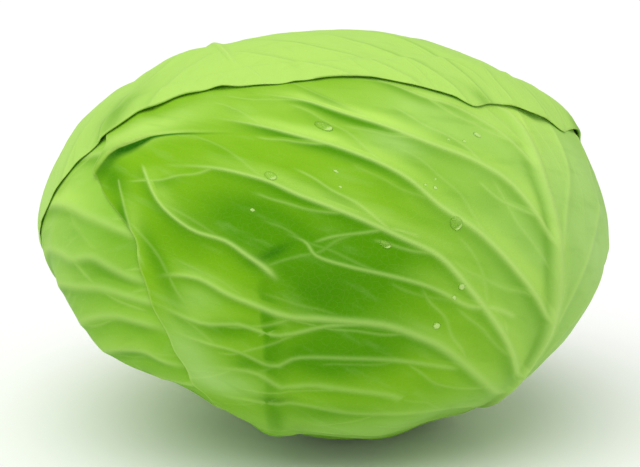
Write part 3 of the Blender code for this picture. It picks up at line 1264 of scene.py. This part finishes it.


# Looks of ribs: half widths, heights, flank, dark (painted shade on the falling side), falls, pale
MIDRIB = ((4.6, 1.5), (2.6, 0.9), 0, 0)
SIDE_RIBS = ((0.95, 0.5), (0.85, 0.4), 0.7, 0.5, 0, 1.0)
CAP_RIBS = ((0.9, 0.5), (0.5, 0.25), 0.7, 0.15, 0, 0.6)
LEFT_RIBS = ((1.6, 1.3), (0.8, 0.6), 0.7, 0.6, 0, 0.7)
FRONT_RIBS = ((1.0, 0.7), (1.0, 0.5), 0.7, 1.0)
FRONT_LOW_RIBS = ((1.2, 0.8), (0.6, 0.3), 0.7, 0.3, 0, 0.5)
FRONT_RIGHT_RIBS = ((1.1, 0.7), (0.6, 0.4), 0.7, 0.2, 0, 0.6)


def patches(**rows: tuple) -> tuple:
    """Make a leaf's patches from rows of numbers.

    Args:
        rows: under each tone's name, rows of a patch's centre, half sizes, turn and strength.

    Returns:
        The patches.
    """
    return tuple(Patch(*row, Tone[name.upper()]) for name, group in rows.items() for row in group)


def ribs(look: tuple, *lines: tuple) -> tuple:
    """Ribs of one look, each along its own line of points."""
    return tuple(Vein(line, *look) for line in lines)


def pinnate(first: float, spacing: float, count: int, rise: float, side: int, length: float = 120,
            look: tuple = SIDE_RIBS) -> tuple:
    """Side ribs that leave a midrib near x = 0 at even steps and bend towards the tip, then level off.

    A rib's climb nears its rise as 1 minus e to the minus distance over 45 mm, with a slow wave on it.

    Args:
        first: where the lowest leaves the midrib, in millimetres.
        spacing: between two ribs.
        count: how many.
        rise: how far each climbs towards the tip.
        side: 1 for the leaf's right side and -1 for its left.
        length: sideways reach.
        look: the ribs' width, height, flank, dark, falls and pale.

    Returns:
        The ribs.
    """
    pace, bend, wave_height, wave_length, uneven = 15.0, 45, 2.2, 17, 0.05
    out = np.arange(0, length, pace)
    found = []
    for order in range(count):
        start = first + spacing * order
        reach = out * (1 + uneven * math.sin(3 * order + side))
        wave = wave_height * np.sin(out / wave_length + 2 * order + side)
        climb = start + rise * (1 - np.exp(-out / bend)) + wave
        points = np.stack([side * reach, climb], axis=1)
        found.append(Vein(tuple(map(tuple, points)), *look))
    return tuple(found)


LEFT_REAR = LeafForm(
    name="left_rear_leaf",
    azimuth=-136,
    middle=62,
    reaches=(118, 114, 100, 90, 80, 72, 72, 72, 84, 96, 108, 116),
    waves=9,
    cells=128,
    veins=(
        Vein(((0, -72), (2, -40), (3, 0), (1, 40), (0, 80), (0, 110)), *MIDRIB),
        *pinnate(-50, 19, 8, 34, 1),
        *pinnate(-42, 19, 8, 34, -1),
    ),
    patches=patches(
        deep=((10, 20, 60, 40, 20, 0.5),),
        cool=((0, -60, 50, 26, 0, 0.7),),
    ),
)

UNDER = LeafForm(
    name="under_leaf",
    azimuth=1.5,
    middle=62,
    reaches=(122, 112, 98, 90, 80, 70, 72, 70, 82, 92, 106, 118),
    waves=10,
    cells=128,
    veins=(
        Vein(((0, -72), (-2, -40), (-4, 0), (-2, 40), (0, 80), (0, 110)), *MIDRIB),
        *pinnate(-52, 18, 8, 34, 1),
        *pinnate(-46, 18, 8, 34, -1),
    ),
    patches=patches(
        deep=((0, 10, 50, 50, 0, 0.5),),
        cool=((0, -60, 50, 26, 0, 0.7),),
    ),
)

RIGHT_REAR = LeafForm(
    name="right_rear_leaf",
    azimuth=139,
    middle=62,
    reaches=(120, 116, 104, 92, 80, 72, 72, 72, 84, 98, 110, 118),
    waves=8,
    cells=160,
    veins=(
        Vein(((0, -72), (3, -40), (5, 0), (3, 40), (0, 80), (0, 112)), *MIDRIB),
        *pinnate(-48, 20, 8, 36, 1),
        *pinnate(-42, 19, 8, 34, -1),
    ),
    patches=patches(
        deep=((-20, 10, 50, 40, 0, 0.5),),
        cool=((0, -60, 50, 26, 0, 0.7),),
        pale=((60, 30, 40, 50, 0, 0.5),),
    ),
)

LEFT = LeafForm(
    name="left_leaf",
    azimuth=-83.5,
    middle=72,
    reaches=(116, 128, 134, 104, 78, 72, 87, 78, 84, 92, 100, 108),
    waves=11,
    cells=200,
    veins=(
        Vein(((0, -85), (-2, -40), (-6, 10), (-5, 50), (-2, 80), (0, 112)), *MIDRIB),
        *ribs(
            LEFT_RIBS,
            ((-5, 50), (12, 66), (22, 76), (33, 83), (49, 84), (62, 81), (71, 78), (82, 73), (92, 67)),
            ((-6, 36), (12, 52), (26, 65), (38, 71), (49, 71), (57, 69), (66, 69), (74, 65), (84, 59),
             (94, 55)),
            ((-6, 24), (14, 43), (30, 56), (45, 61), (58, 61), (71, 59), (85, 52), (95, 47)),
            ((-5, 8), (14, 28), (38, 44), (54, 50), (69, 51), (79, 47), (92, 39)),
            ((-4, -6), (16, 14), (34, 30), (46, 37), (62, 39), (74, 37), (81, 31), (93, 24)),
            ((-3, -22), (18, -2), (40, 13), (60, 20), (78, 20), (100, 14)),
            ((-2, -38), (18, -21), (40, -8), (62, -2), (86, 0)),
            ((-5, 62), (8, 80), (20, 92), (38, 99), (58, 101), (74, 98)),
        ),
        *pinnate(-60, 18, 9, 36, -1),
    ),
    patches=patches(
        deep=((72, 66, 16, 10, 0, 0.3),),
        pale=((40, 88, 22, 12, 0, 0.45),),
        cool=(
            (0, -60, 60, 30, 0, 0.6), (-40, 30, 40, 50, 0, 0.3), (46, 70, 22, 24, 0, 0.4),
        ),
    ),
    heart_of_grid=(20, 25),
    margin_lift=-0.1,
    crinkle=0.12,
)

FRONT = LeafForm(
    name="front_leaf",
    azimuth=54,
    middle=62,
    reaches=(112, 88, 76, 76, 72, 68, 72, 80, 98, 118, 140, 168),
    waves=13,
    cells=288,
    veins=(
        Vein(((0, -80), (-8, -55), (-18, -30), (-22, -4), (-18.5, 8), (-14.5, 20), (-10, 32), (-5.5, 41),
              (0, 50), (7, 58), (13, 64), (17, 72), (20, 82)), (3.0, 1.8), (2.2, 1.4), 0.3, 0.6, 1, 0.9),
        Vein(((-2, 46), (1, 55), (1, 67), (-2, 79), (-8, 89), (-10, 104), (-14, 120)),
             (0.9, 0.6), (0.8, 0.4), 0.7, 0.6, 0, 0.8),
        *ribs(
            FRONT_RIBS,
            ((-9, 28), (-10, 41), (-11, 54), (-16, 66), (-23, 76), (-29, 86), (-37, 99), (-43, 111),
             (-53, 124)),
            ((-15, 10), (-18, 18), (-23, 33), (-28, 48), (-34, 60), (-38, 73), (-46, 86), (-55, 97),
             (-65, 109), (-76, 121)),
        ),
        Vein(((-21, -6), (-27, 3), (-33, 21), (-38, 36), (-42, 48), (-49, 57), (-58, 68), (-68, 79),
              (-75, 88), (-87, 97), (-104, 104)), (1.1, 0.7), (1.0, 0.5), 0.7, 1.0),
        Vein(((-27, 22), (-33, 28), (-40, 32), (-45, 38), (-50, 43), (-58, 49), (-67, 55), (-73, 60),
              (-74, 65), (-79, 70)), (0.9, 0.5), (0.5, 0.3), 0.7, 0.6, 0, 0.7),
        Vein(((-44, 55), (-50, 60), (-57, 62), (-66, 64), (-73, 64)),
             (0.6, 0.5), (0.35, 0.2), 0.7, 0.5, 0, 0.5),
        Vein(((-20, -18), (-32, -5), (-48, 20), (-55, 28), (-64, 35), (-77, 40), (-87, 43), (-94, 48),
              (-101, 53), (-107, 59), (-114, 61), (-121, 60)), (1.5, 0.9), (0.8, 0.6), 0.7, 0.6, 0, 0.8),
        Vein(((-107, 106), (-108, 89), (-103, 77), (-95, 71), (-91, 65), (-88, 60), (-86, 54)),
             (0.6, 1.0), (0.6, 0.9), 0.7, 0.7, 0, 1.0),
        Vein(((-66, 36), (-78, 38), (-91, 37), (-101, 42), (-112, 43), (-124, 50)),
             (0.8, 0.9), (0.4, 0.5), 0.7, 0.4, 0, 0.6),
        Vein(((-44, 12), (-62, 22), (-75, 26), (-88, 28), (-96, 26), (-104, 32), (-112, 35), (-124, 40)),
             (0.9, 0.7), (0.4, 0.4), 0.7, 0.4, 0, 0.5),
        Vein(((-62, 6), (-67, 10), (-77, 14), (-87, 17), (-95, 17), (-103, 24), (-119, 24)),
             (1.4, 1.0), (0.6, 0.4), 0.7, 0.25, 0, 0.5),
        Vein(((-19, -32), (-34, -16), (-50, -6), (-63, -1), (-77, 3), (-91, 8), (-105, 8), (-118, 8)),
             (1.4, 1.0), (0.5, 0.4), 0.7, 0.25, 0, 0.45),
        Vein(((-16, -42), (-32, -30), (-52, -22), (-74, -16), (-96, -12)),
             (1.2, 0.8), (0.5, 0.3), 0.7, 0.3, 0, 0.5),
        Vein(((-9, -58), (-26, -46), (-46, -38), (-66, -32)), *FRONT_LOW_RIBS),
        *ribs(
            FRONT_RIGHT_RIBS,
            ((-9, 31), (0, 38), (14, 44), (27, 51), (44, 58), (62, 62)),
            ((-14, 11), (-4, 19), (5, 24), (20, 28), (40, 36), (62, 44), (74, 47)),
            ((-20, -8), (-6, 3), (14, 9), (38, 15), (60, 22), (74, 27)),
            ((-19, -28), (-6, -16), (12, -9), (36, -5), (58, 0), (72, 5)),
            ((-14, -46), (0, -35), (20, -29), (42, -26), (62, -22)),
        ),
        Vein(((2, 52), (14, 60), (26, 66), (38, 76)), (1.0, 0.6), (0.5, 0.3), 0.7, 0.2, 0, 0.5),
        Vein(((-83, 67), (-87, 60), (-91, 55), (-92, 50), (-94, 43), (-95, 36), (-97, 28), (-98, 20),
              (-100, 11), (-101, 2), (-101, -10), (-100, -22)), (0.9, 0.9), (0.5, 0.4), 0.7, 0.8, 1, 0.0),
        Vein(((-118, 101), (-119, 94), (-120, 87), (-121, 80), (-122, 72), (-122, 62)),
             (0.4, 0.8), (0.6, 0.3), 0.6, 0.8, -1, 0.6),
    ),
    patches=patches(
        # Painted shade: the deep rows at (-120, 102) under the fold's flap, at (-8.6, 41) and (-19, 14) in
        # the groove beside the midrib, and at (-99, 0) beside the crease.
        deep=(
            (-77, 28, 19, 10, 0, 1.3), (-68, 50, 20, 13, -10, 1.2), (-84, 74, 18, 13, -35, 1.2),
            (-108, 74, 9, 12, 0, 0.4), (-104, 40, 8, 4, 0, 0.7), (-103, 27, 4, 3, 0, 0.6),
            (-117, 64, 3, 16, 0, 0.7), (-120, 102, 6, 9, 0, 1.0), (-56, 60, 14, 5, -50, 0.6),
            (-99, 0, 2.5, 16, 0, 0.6), (-8.6, 41, 17, 1.6, 62, 0.55), (-19, 14, 18, 1.8, 70, 0.55),
            (-84, 3, 16, 6, 0, 0.5),
        ),
        dark=(
            (-76, 49, 13, 8, 0, 0.35), (-74, 27, 14, 6, 0, 0.15), (-84, 64, 6, 1.6, 15, 0.8),
            (-98, 10, 5, 2, 0, 0.5),
        ),
        pale=(
            (-30, 100, 60, 16, -35, 0.3), (-92, 124, 40, 9, -10, 0.2), (-106, 122, 24, 6, 8, 0.6),
            (20, 66, 22, 18, 20, 0.7),
        ),
        cool=(
            (-32, 82, 9, 5, -45, 0.6), (-16, 84, 14, 10, -40, 0.4), (-104, 122, 26, 6, 8, 0.5),
            (16, 28, 36, 60, 0, 1.0), (-26, 40, 13, 30, 10, 0.15), (-119, 30, 8, 16, 0, 0.6),
            (-112, 16, 12, 8, 0, 0.6), (-110, 52, 7, 6, 0, 0.35), (-60, -14, 60, 14, 0, 0.55),
            (0, -70, 30, 26, 0, 0.8),
        ),
    ),
    loose=(
        LooseEdge(-124, 14, 8, 1.2),
        LooseEdge(-112, -10, 12, 1.0),
    ),
    pleats=(
        Pleat(((-130, 101), (-126, 106), (-121, 111), (-117, 114), (-112.5, 115.5), (-109, 115.6),
               (-105, 116), (-101, 116.6), (-97, 117), (-89, 116), (-80, 112), (-68, 106))),
    ),
    bulges=((-41, 9, 11), (-51, 4.5, 12)),
    heart_of_grid=(-40, 25),
    margin_lift=-0.2,
    crinkle=0.12,
    scallop=1.2,
)

CAP = LeafForm(
    name="cap_leaf",
    azimuth=191.5,
    middle=105,
    reaches=(164, 148, 130, 112, 100, 104, 136, 116, 124, 152, 177, 175),
    waves=12,
    cells=288,
    veins=(
        Vein(((0, -130), (6, -60), (8, 0), (6, 60), (2, 110), (0, 150)), *MIDRIB),
        *pinnate(-110, 22, 11, 44, 1, 170, CAP_RIBS),
        *pinnate(-98, 22, 11, 44, -1, 190, CAP_RIBS),
    ),
    patches=patches(
        cool=(
            (106, 80, 18, 34, 0, 0.5), (0, -110, 60, 40, 0, 0.6),
        ),
        deep=(
            (62, 123, 12, 6, 0, 0.4), (60, 120, 26, 16, 0, 0.2), (-141, 104, 9, 5, 30, 0.4),
            (-156, 10, 7, 8, 0, 0.7), (0, 0, 100, 60, 0, 0.4),
        ),
        pale=((-20, 140, 84, 30, 0, 0.3),),
    ),
    loose=(
        LooseEdge(101, 100, 9, 0.2),
        LooseEdge(76, 123, 14, -0.2),
        LooseEdge(13, 154, 6, 1.0),
        LooseEdge(-79, 148, 16, 0.3),
        LooseEdge(-124, 124, 12, 0.3),
        LooseEdge(-152, 88, 12, 0.5),
        LooseEdge(-158, 66, 12, 1.4),
        LooseEdge(-157, 12, 8, 1.2),
    ),
    bulges=((18, 15, -8), (-22, 24, -5), (53, 8, 4), (-50, 4, 3), (-62, 7, -4), (-78, 4, 5)),
    heart_of_grid=(-10, 30),
    margin_lift=-0.25,
    crinkle=0.12,
    scallop=0.8,
)

FINISHES = (
    LeafFinish("rear leaf green", paint(140, 192, 50), 60),
    LeafFinish("under leaf green", paint(132, 188, 40), 60),
    LeafFinish("side leaf green", paint(146, 198, 60), 60),
    LeafFinish("left leaf green", paint(128, 185, 42), 5),
    LeafFinish("front leaf green", paint(124, 180, 20), 135),
    LeafFinish("cap leaf green", paint(176, 219, 102), 20, rib_share=0.35, streaks=0.05),
)


@dataclass(frozen=True)
class Stalk:
    """The cut stub and the core that tapers into the heart, turned about the stalk's own line.

    end and core_tip are heights along that line from the head's centre, and gap is the air between
    the core and the heart, all in millimetres. scars are waves round the stub where leaves were cut
    away: how many to the round, their height as a share of the radius, and their turn in radians.
    """

    head: HeadForm
    radius: float = 13.5
    end: float = 66.8
    core_tip: float = 20.0
    core_tip_radius: float = 6.0
    spokes: int = 96
    gap: float = 0.4
    scars: tuple = ((5, 0.022, 0), (11, 0.012, 1))

    def profile(self) -> np.ndarray:
        """Draw the outline from the cut end's middle to the core's tip.

        Returns:
            Radius and height in millimetres, a row for each point.
        """
        neck = self.end - 14
        return np.array([
            (0.0, self.end - 0.4),
            (self.radius * 0.3, self.end - 0.5),
            (self.radius * 0.62, self.end - 0.2),
            (self.radius * 0.82, self.end - 0.1),
            (self.radius * 0.94, self.end - 0.3),
            (self.radius + 0.3, self.end - 1.2),
            (self.radius + 0.6, self.end - 4.0),
            (self.radius, self.end - 9.0),
            (self.radius - 1.0, neck),
            (self.core_tip_radius + 2.4, self.core_tip + 16),
            (self.core_tip_radius, self.core_tip + 6),
            (self.core_tip_radius * 0.5, self.core_tip + 1.5),
            (0.0, self.core_tip),
        ])

    def build(self) -> Surface:
        """Carry the profile round the line.

        The radius at a turn is the profile's, times one plus the scars' waves, which fade out where
        the radius is small.

        Returns:
            The closed stalk.
        """
        line = smooth_line(self.profile(), 5)
        stalk = self.head.axes()[0]
        turn, sideways = self.head.spokes(self.spokes)
        thinnest = 0.02
        radius = np.maximum(line[1:-1, :1], thinnest)
        waves = sum(height * np.sin(count * turn + shift) for count, height, shift in self.scars)
        rounded = radius * (1 + waves * smooth_step(radius / self.radius))
        rings = rounded[..., None] * sideways + line[1:-1, 1][:, None, None] * stalk
        ends = np.array([line[0, 1] * stalk, line[-1, 1] * stalk])
        points = np.vstack([rings.reshape(-1, 3), ends]) * MM + self.head.centre
        reach = np.concatenate([rounded.ravel(), [0, 0]])
        height = np.concatenate([np.repeat(line[1:-1, 1], self.spokes), line[[0, -1], 1]])
        faces = closed_tube(len(rings), self.spokes)[:, ::-1]
        return Surface(points, faces, {"reach": reach, "height": height})

    def finish(self) -> bpy.types.Material:
        """Pale cut face with rings and a darker band of vessels, and a green rind down the side.

        Returns:
            The material.
        """
        finish = Finish("cut stalk", 0.6, 0.3)
        place = finish.add("ShaderNodeTexCoord", {}, {}).outputs["Object"]
        reach = Value(finish, finish.read("reach"))
        height = Value(finish, finish.read("height"))
        grain = finish.noise(place, 900, 4.0)
        rings = finish.maths("SINE", reach * 2.3 + 3 * grain, 0)
        colour = finish.mix(0.5 + 0.25 * rings, paint(226, 222, 176), paint(206, 204, 142))
        band = ((reach - 0.74 * self.radius) / 1.1).bell()
        colour = finish.mix(band * 0.55, colour, paint(168, 170, 92))
        dried = finish.noise(place, 220, 3.0).fade(0.55, 0.75)
        colour = finish.mix(dried * 0.35, colour, paint(188, 160, 104))
        rind = height.fade(self.end - 0.9, self.end - 2.2)
        colour = finish.mix(rind, colour, paint(182, 206, 128))
        finish.colour(colour)
        finish.bump(0.5 * grain + 0.2 * rings, 0.0004)
        return finish.material


@dataclass(frozen=True)
class Heart:
    """The dense inner head that the wrapper leaves hold, with a socket for the stalk's core.

    Angles are degrees from the stalk's line. The socket opens at the mouth. The folds are the packed
    leaves' edges: how many to the round, how they wind, their height in millimetres and the level
    that is taken off. They start at an angle, rise over another and fade out before the mouth.
    """

    stack: LeafStack
    stalk: Stalk
    rings: int = 110
    socket_rings: int = 12
    spokes: int = 160
    mouth: float = 12.6
    folds: int = 5
    fold_wind: float = 0.09
    fold_height: float = 0.5
    fold_level: float = 0.6
    folds_from: float = 75
    folds_rise: float = 30
    folds_fade: float = 8

    def build(self) -> Surface:
        """Sweep from the crown to the stalk, then down into the socket.

        Down to the mouth a ring's radius is the stack's own beneath all leaves, plus the folds: the
        size of a sine that winds round the stalk. Past the mouth the rings follow the core, a gap
        away from it.

        Returns:
            The closed heart.
        """
        head = self.stack.head
        stalk = head.axes()[0]
        turn, sideways = head.spokes(self.spokes)
        polar = np.linspace(180, self.mouth, self.rings)[1:]
        angle = np.radians(polar)[:, None, None]
        way = (np.cos(angle) * stalk + np.sin(angle) * sideways).reshape(-1, 3)
        radius = self.stack.radius(-1, way, self.stack.insets(way)).reshape(-1, self.spokes)
        wind = turn * self.folds + polar[:, None] * self.fold_wind
        packed = smooth_step((self.folds_from - polar) / self.folds_rise)
        packed = packed * smooth_step((polar - self.mouth) / self.folds_fade)
        folds = np.abs(np.sin(wind)) - self.fold_level
        radius = radius + self.fold_height * MM * folds * packed[:, None]
        shell = way.reshape(-1, self.spokes, 3) * radius[..., None]

        core = self.stalk.profile()[7:]
        depth = np.linspace(0, 1, self.socket_rings + 2)[1:-1]
        core_radius, core_height = (np.interp(depth, np.linspace(0, 1, len(core)), axis) for axis in core.T)
        mouth_height = radius[-1].mean() / MM * math.cos(math.radians(self.mouth))
        reach = np.minimum(core_radius, self.stalk.radius) + self.stalk.gap
        height = np.minimum(core_height, mouth_height - 1)
        socket = (reach[:, None, None] * sideways + height[:, None, None] * stalk) * MM
        crown = -stalk * self.stack.radius(-1, -stalk[None], self.stack.insets(-stalk[None]))
        bottom = stalk * (self.stalk.core_tip - self.stalk.gap) * MM
        rings = np.concatenate([shell, socket])
        points = np.vstack([rings.reshape(-1, 3), crown, bottom[None]]) + head.centre
        return Surface(points, closed_tube(len(rings), self.spokes), {})

    def finish(self) -> bpy.types.Material:
        """Pale, tightly packed leaf with paler clouds and fibres.

        Returns:
            The material.
        """
        finish = Finish("packed heart leaf", 0.45, 0.4)
        place = finish.add("ShaderNodeTexCoord", {}, {}).outputs["Object"]
        cloud = finish.noise(place, 45, 4.0)
        fibre = finish.noise(place, 420, 3.0)
        colour = finish.mix(cloud.fade(0.35, 0.7), paint(196, 218, 138), paint(222, 232, 174))
        colour = finish.mix(fibre.fade(0.5, 0.75) * 0.3, colour, paint(236, 240, 204))
        finish.colour(colour)
        finish.bump(0.6 * cloud + 0.3 * fibre, 0.0006)
        return finish.material


@dataclass(frozen=True)
class Drop:
    """A water drop on the front leaf: its place in the leaf's plane, length, breadth and turn."""

    x: float
    y: float
    length: float
    breadth: float
    turn: float = 0.0


@dataclass(frozen=True)
class WaterDrops:
    """All the drops as one piece: each a closed low dome that follows the leaf under it.

    leaf is the leaf's place in the stack. dome is a drop's height over its breadth. sunk and keel are
    how far its rim and the middle of its underside go into the leaf, in millimetres. Painted light
    gathers on the light side, and fills a small drop, shorter than small, more than a big one. outline
    is the share of a drop's radius that its darker edge, a painted shade, takes.
    """

    stack: LeafStack
    leaf: int = 4
    rings: int = 9
    spokes: int = 28
    dome: float = 0.3
    sunk: float = 0.1
    keel: float = 0.5
    light_side: tuple = (0.15, -1.0)
    small: float = 2.6
    small_fill: float = 0.9
    big_fill: float = 0.15
    outline: float = 0.28
    drops: tuple = (
        Drop(-46, 97, 5.8, 3.6, -62),
        Drop(-72, 88, 3.8, 3.0, -55),
        Drop(-33, 54, 4.0, 3.4, 60),
        Drop(-7, 70, 2.5, 1.8, -60),
        Drop(-40, 38, 2.0, 1.8, 40),
        Drop(-43, 36, 1.5, 1.3, 0),
        Drop(-54, 57, 3.4, 2.2, -50),
        Drop(-50, 30, 2.4, 1.9, 0),
        Drop(-54, 82, 1.8, 1.0, -60),
        Drop(-56, 77, 1.1, 1.0),
        Drop(-83, 79, 1.5, 1.3),
        Drop(-13, 71, 1.3, 1.0),
        Drop(-17, 74, 1.1, 0.9),
        Drop(-32, 65, 1.4, 1.2),
        Drop(-34, 67, 1.0, 0.9),
        Drop(-30, 67, 0.9, 0.8),
    )

    def build(self) -> Surface:
        """Shape every drop at once.

        A dome's height over the leaf at a share s of its radius is three tenths of its breadth times
        the root of one minus s squared. Its underside is a low cone, sunk in the leaf.

        Returns:
            The closed domes.
        """
        share = np.sin(np.linspace(0, math.pi / 2, self.rings))[1:]
        turn = even_turns(self.spokes)
        places, heights, painted_lights, edges = [], [], [], []
        for drop in self.drops:
            angle = math.radians(drop.turn)
            long_way = share[:, None] * np.cos(turn) * drop.length / 2
            short_way = share[:, None] * np.sin(turn) * drop.breadth / 2
            x = drop.x + long_way * math.cos(angle) - short_way * math.sin(angle)
            y = drop.y + long_way * math.sin(angle) + short_way * math.cos(angle)
            top = self.dome * drop.breadth
            dome = top * np.sqrt(np.maximum(1 - share ** 2, 0))
            rings = np.stack([x, y], axis=-1).reshape(-1, 2)
            places += [[(drop.x, drop.y)], rings, [(drop.x, drop.y)]]
            heights += [[top], np.repeat(dome, self.spokes), [-self.keel]]
            # Painted light: a crescent on the light side and, in a small drop, a fill.
            lower = np.sin(turn + angle) * self.light_side[1] + np.cos(turn + angle) * self.light_side[0]
            out = share[:, None]
            painted_light = smooth_step((lower * out - 0.3) / 0.4) * smooth_step((1.02 - out) / 0.2)
            fill = self.small_fill if drop.length < self.small else self.big_fill
            painted_light = np.maximum(painted_light, fill * smooth_step((0.95 - out) / 0.4))
            painted_lights += [[fill], painted_light.ravel(), [0]]
            # Painted shade: the darker outline at the rim.
            rim = smooth_step((share - 1 + self.outline) / self.outline)
            edges += [[0], np.repeat(rim, self.spokes), [1]]
        places = np.vstack(places)
        leaf = WrapperLeaf(self.stack, self.leaf)
        form = leaf.form
        way = form.way(places, self.stack.head)
        insets = self.stack.insets(way)
        rise = np.max([rib_map(places, lane)[1] for lane in leaf.lanes()], axis=0) + leaf.waves(places)
        rise = rise * self.stack.bare(self.leaf, insets) + np.concatenate(heights) - self.sunk
        radius = self.stack.radius(self.leaf, way, insets) + rise * MM
        points = way * radius[:, None] + self.stack.head.centre
        numbers = {"painted_light": np.concatenate(painted_lights), "edge": np.concatenate(edges)}

        count = 2 + len(share) * self.spokes
        quads = tube_quads(len(share), self.spokes) + 1
        spoke = np.arange(self.spokes)
        after = (spoke + 1) % self.spokes
        outer = 1 + (len(share) - 1) * self.spokes
        top = np.stack([np.zeros(self.spokes, dtype=int), 1 + spoke, 1 + after], axis=1)
        under = np.stack([np.full(self.spokes, count - 1), outer + after, outer + spoke], axis=1)
        one = np.vstack([split_quads(quads[:, ::-1]), top, under])
        faces = (one[None] + count * np.arange(len(self.drops))[:, None, None]).reshape(-1, 3)
        return Surface(points, faces, numbers)

    def finish(self) -> bpy.types.Material:
        """Clear water: a glossy skin, a darker outline of painted shade and a crescent of painted light
        where it gathers the light.

        Returns:
            The material.
        """
        finish = Finish("water", 0.05, 0.5)
        finish.shader.inputs["IOR"].default_value = 1.33
        painted_light = Value(finish, finish.read("painted_light"))
        edge = Value(finish, finish.read("edge"))
        colour = finish.mix(edge, paint(176, 224, 90), paint(116, 172, 36))
        finish.colour(finish.mix(painted_light, colour, paint(208, 242, 144)))
        shown = finish.maths("MINIMUM", 0.12 + 0.38 * edge + 0.6 * painted_light, 0.75)
        finish.feed(finish.shader.inputs["Alpha"], shown)
        return finish.material


@dataclass(frozen=True)
class Studio:
    """Plain pale floor, soft light from above and in front, and the camera."""

    floor_half_size: float = 4.0
    floor_lines: int = 8
    floor_height: float = -0.0002
    camera_distance: float = 0.545
    camera_elevation: float = 12.0
    look_at: tuple = (0.0, 0.0, 0.0673)
    lens: float = 85.0
    surroundings: float = 0.66
    light_place: tuple = (-0.35, -0.75, 1.8)
    light_breadth: float = 60.0
    light_strength: float = 1.65

    def floor(self) -> None:
        """Lay a level square sheet just under the head's resting spot."""
        line = np.linspace(-self.floor_half_size, self.floor_half_size, self.floor_lines)
        across, along = (grid.ravel() for grid in np.meshgrid(line, line))
        mesh = bpy.data.meshes.new("floor")
        points = np.stack([across, along, np.full(across.size, self.floor_height)], axis=1)
        mesh.from_pydata(points.tolist(), [], grid_quads(self.floor_lines, self.floor_lines).tolist())
        finish = Finish("pale floor", 0.9, 0.1)
        finish.colour((0.93, 0.93, 0.93, 1.0))
        mesh.materials.append(finish.material)
        floor = bpy.data.objects.new("floor", mesh)
        bpy.context.scene.collection.objects.link(floor)

    def facing(self, place: tuple) -> tuple:
        """Find the angles that turn a lamp or camera towards the head.

        Args:
            place: where it stands.

        Returns:
            Its turns about x, y and z, in radians.
        """
        way = np.array(self.look_at) - np.array(place)
        down = math.acos(-way[2] / np.linalg.norm(way))
        return down, 0.0, math.atan2(way[1], way[0]) - math.pi / 2

    def light(self) -> None:
        """White surroundings and one broad, even light from overhead, a little to the front left."""
        world = bpy.data.worlds.new("studio")
        world.use_nodes = True
        background = world.node_tree.nodes["Background"]
        background.inputs["Color"].default_value = (1.0, 1.0, 1.0, 1.0)
        background.inputs["Strength"].default_value = self.surroundings
        bpy.context.scene.world = world
        light = bpy.data.lights.new("overhead", "SUN")
        light.angle = math.radians(self.light_breadth)
        light.energy = self.light_strength
        lamp = bpy.data.objects.new("overhead", light)
        lamp.location = self.light_place
        lamp.rotation_euler = self.facing(self.light_place)
        bpy.context.scene.collection.objects.link(lamp)

    def camera(self) -> None:
        """Stand the camera in front of the head, a little above it."""
        camera = bpy.data.cameras.new("camera")
        camera.lens = self.lens
        camera.sensor_width = 36.0
        tilt = math.radians(self.camera_elevation)
        away = self.camera_distance * np.array([0.0, -math.cos(tilt), math.sin(tilt)])
        item = bpy.data.objects.new("camera", camera)
        item.location = np.array(self.look_at) + away
        item.rotation_euler = self.facing(tuple(item.location))
        bpy.context.scene.collection.objects.link(item)
        bpy.context.scene.camera = item

    def build(self) -> None:
        """Set up the floor, the lights, the camera and plain colour handling."""
        self.floor()
        self.light()
        self.camera()
        bpy.context.scene.view_settings.view_transform = "Standard"


def main() -> None:
    """Build the head's pieces from the stalk outwards, then its drops and the studio."""
    logging.basicConfig(level=logging.INFO)
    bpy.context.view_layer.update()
    head = HeadForm()
    stack = LeafStack(head, (LEFT_REAR, UNDER, RIGHT_REAR, LEFT, FRONT, CAP))

    stalk = Stalk(head)
    piece = stalk.build().make("dressed_stalk", stalk.finish())
    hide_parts("stalk")

    heart = Heart(stack, stalk)
    piece = heart.build().make("dressed_heart", heart.finish())
    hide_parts("heart")

    for index, finish in enumerate(FINISHES):
        leaf = WrapperLeaf(stack, index)
        piece = leaf.build().make("dressed_" + leaf.form.name, finish.make())
        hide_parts(leaf.form.name)

    drops = WaterDrops(stack)
    drops.build().make("water_drops", drops.finish())

    Studio().build()


if __name__ == "__main__":
    main()
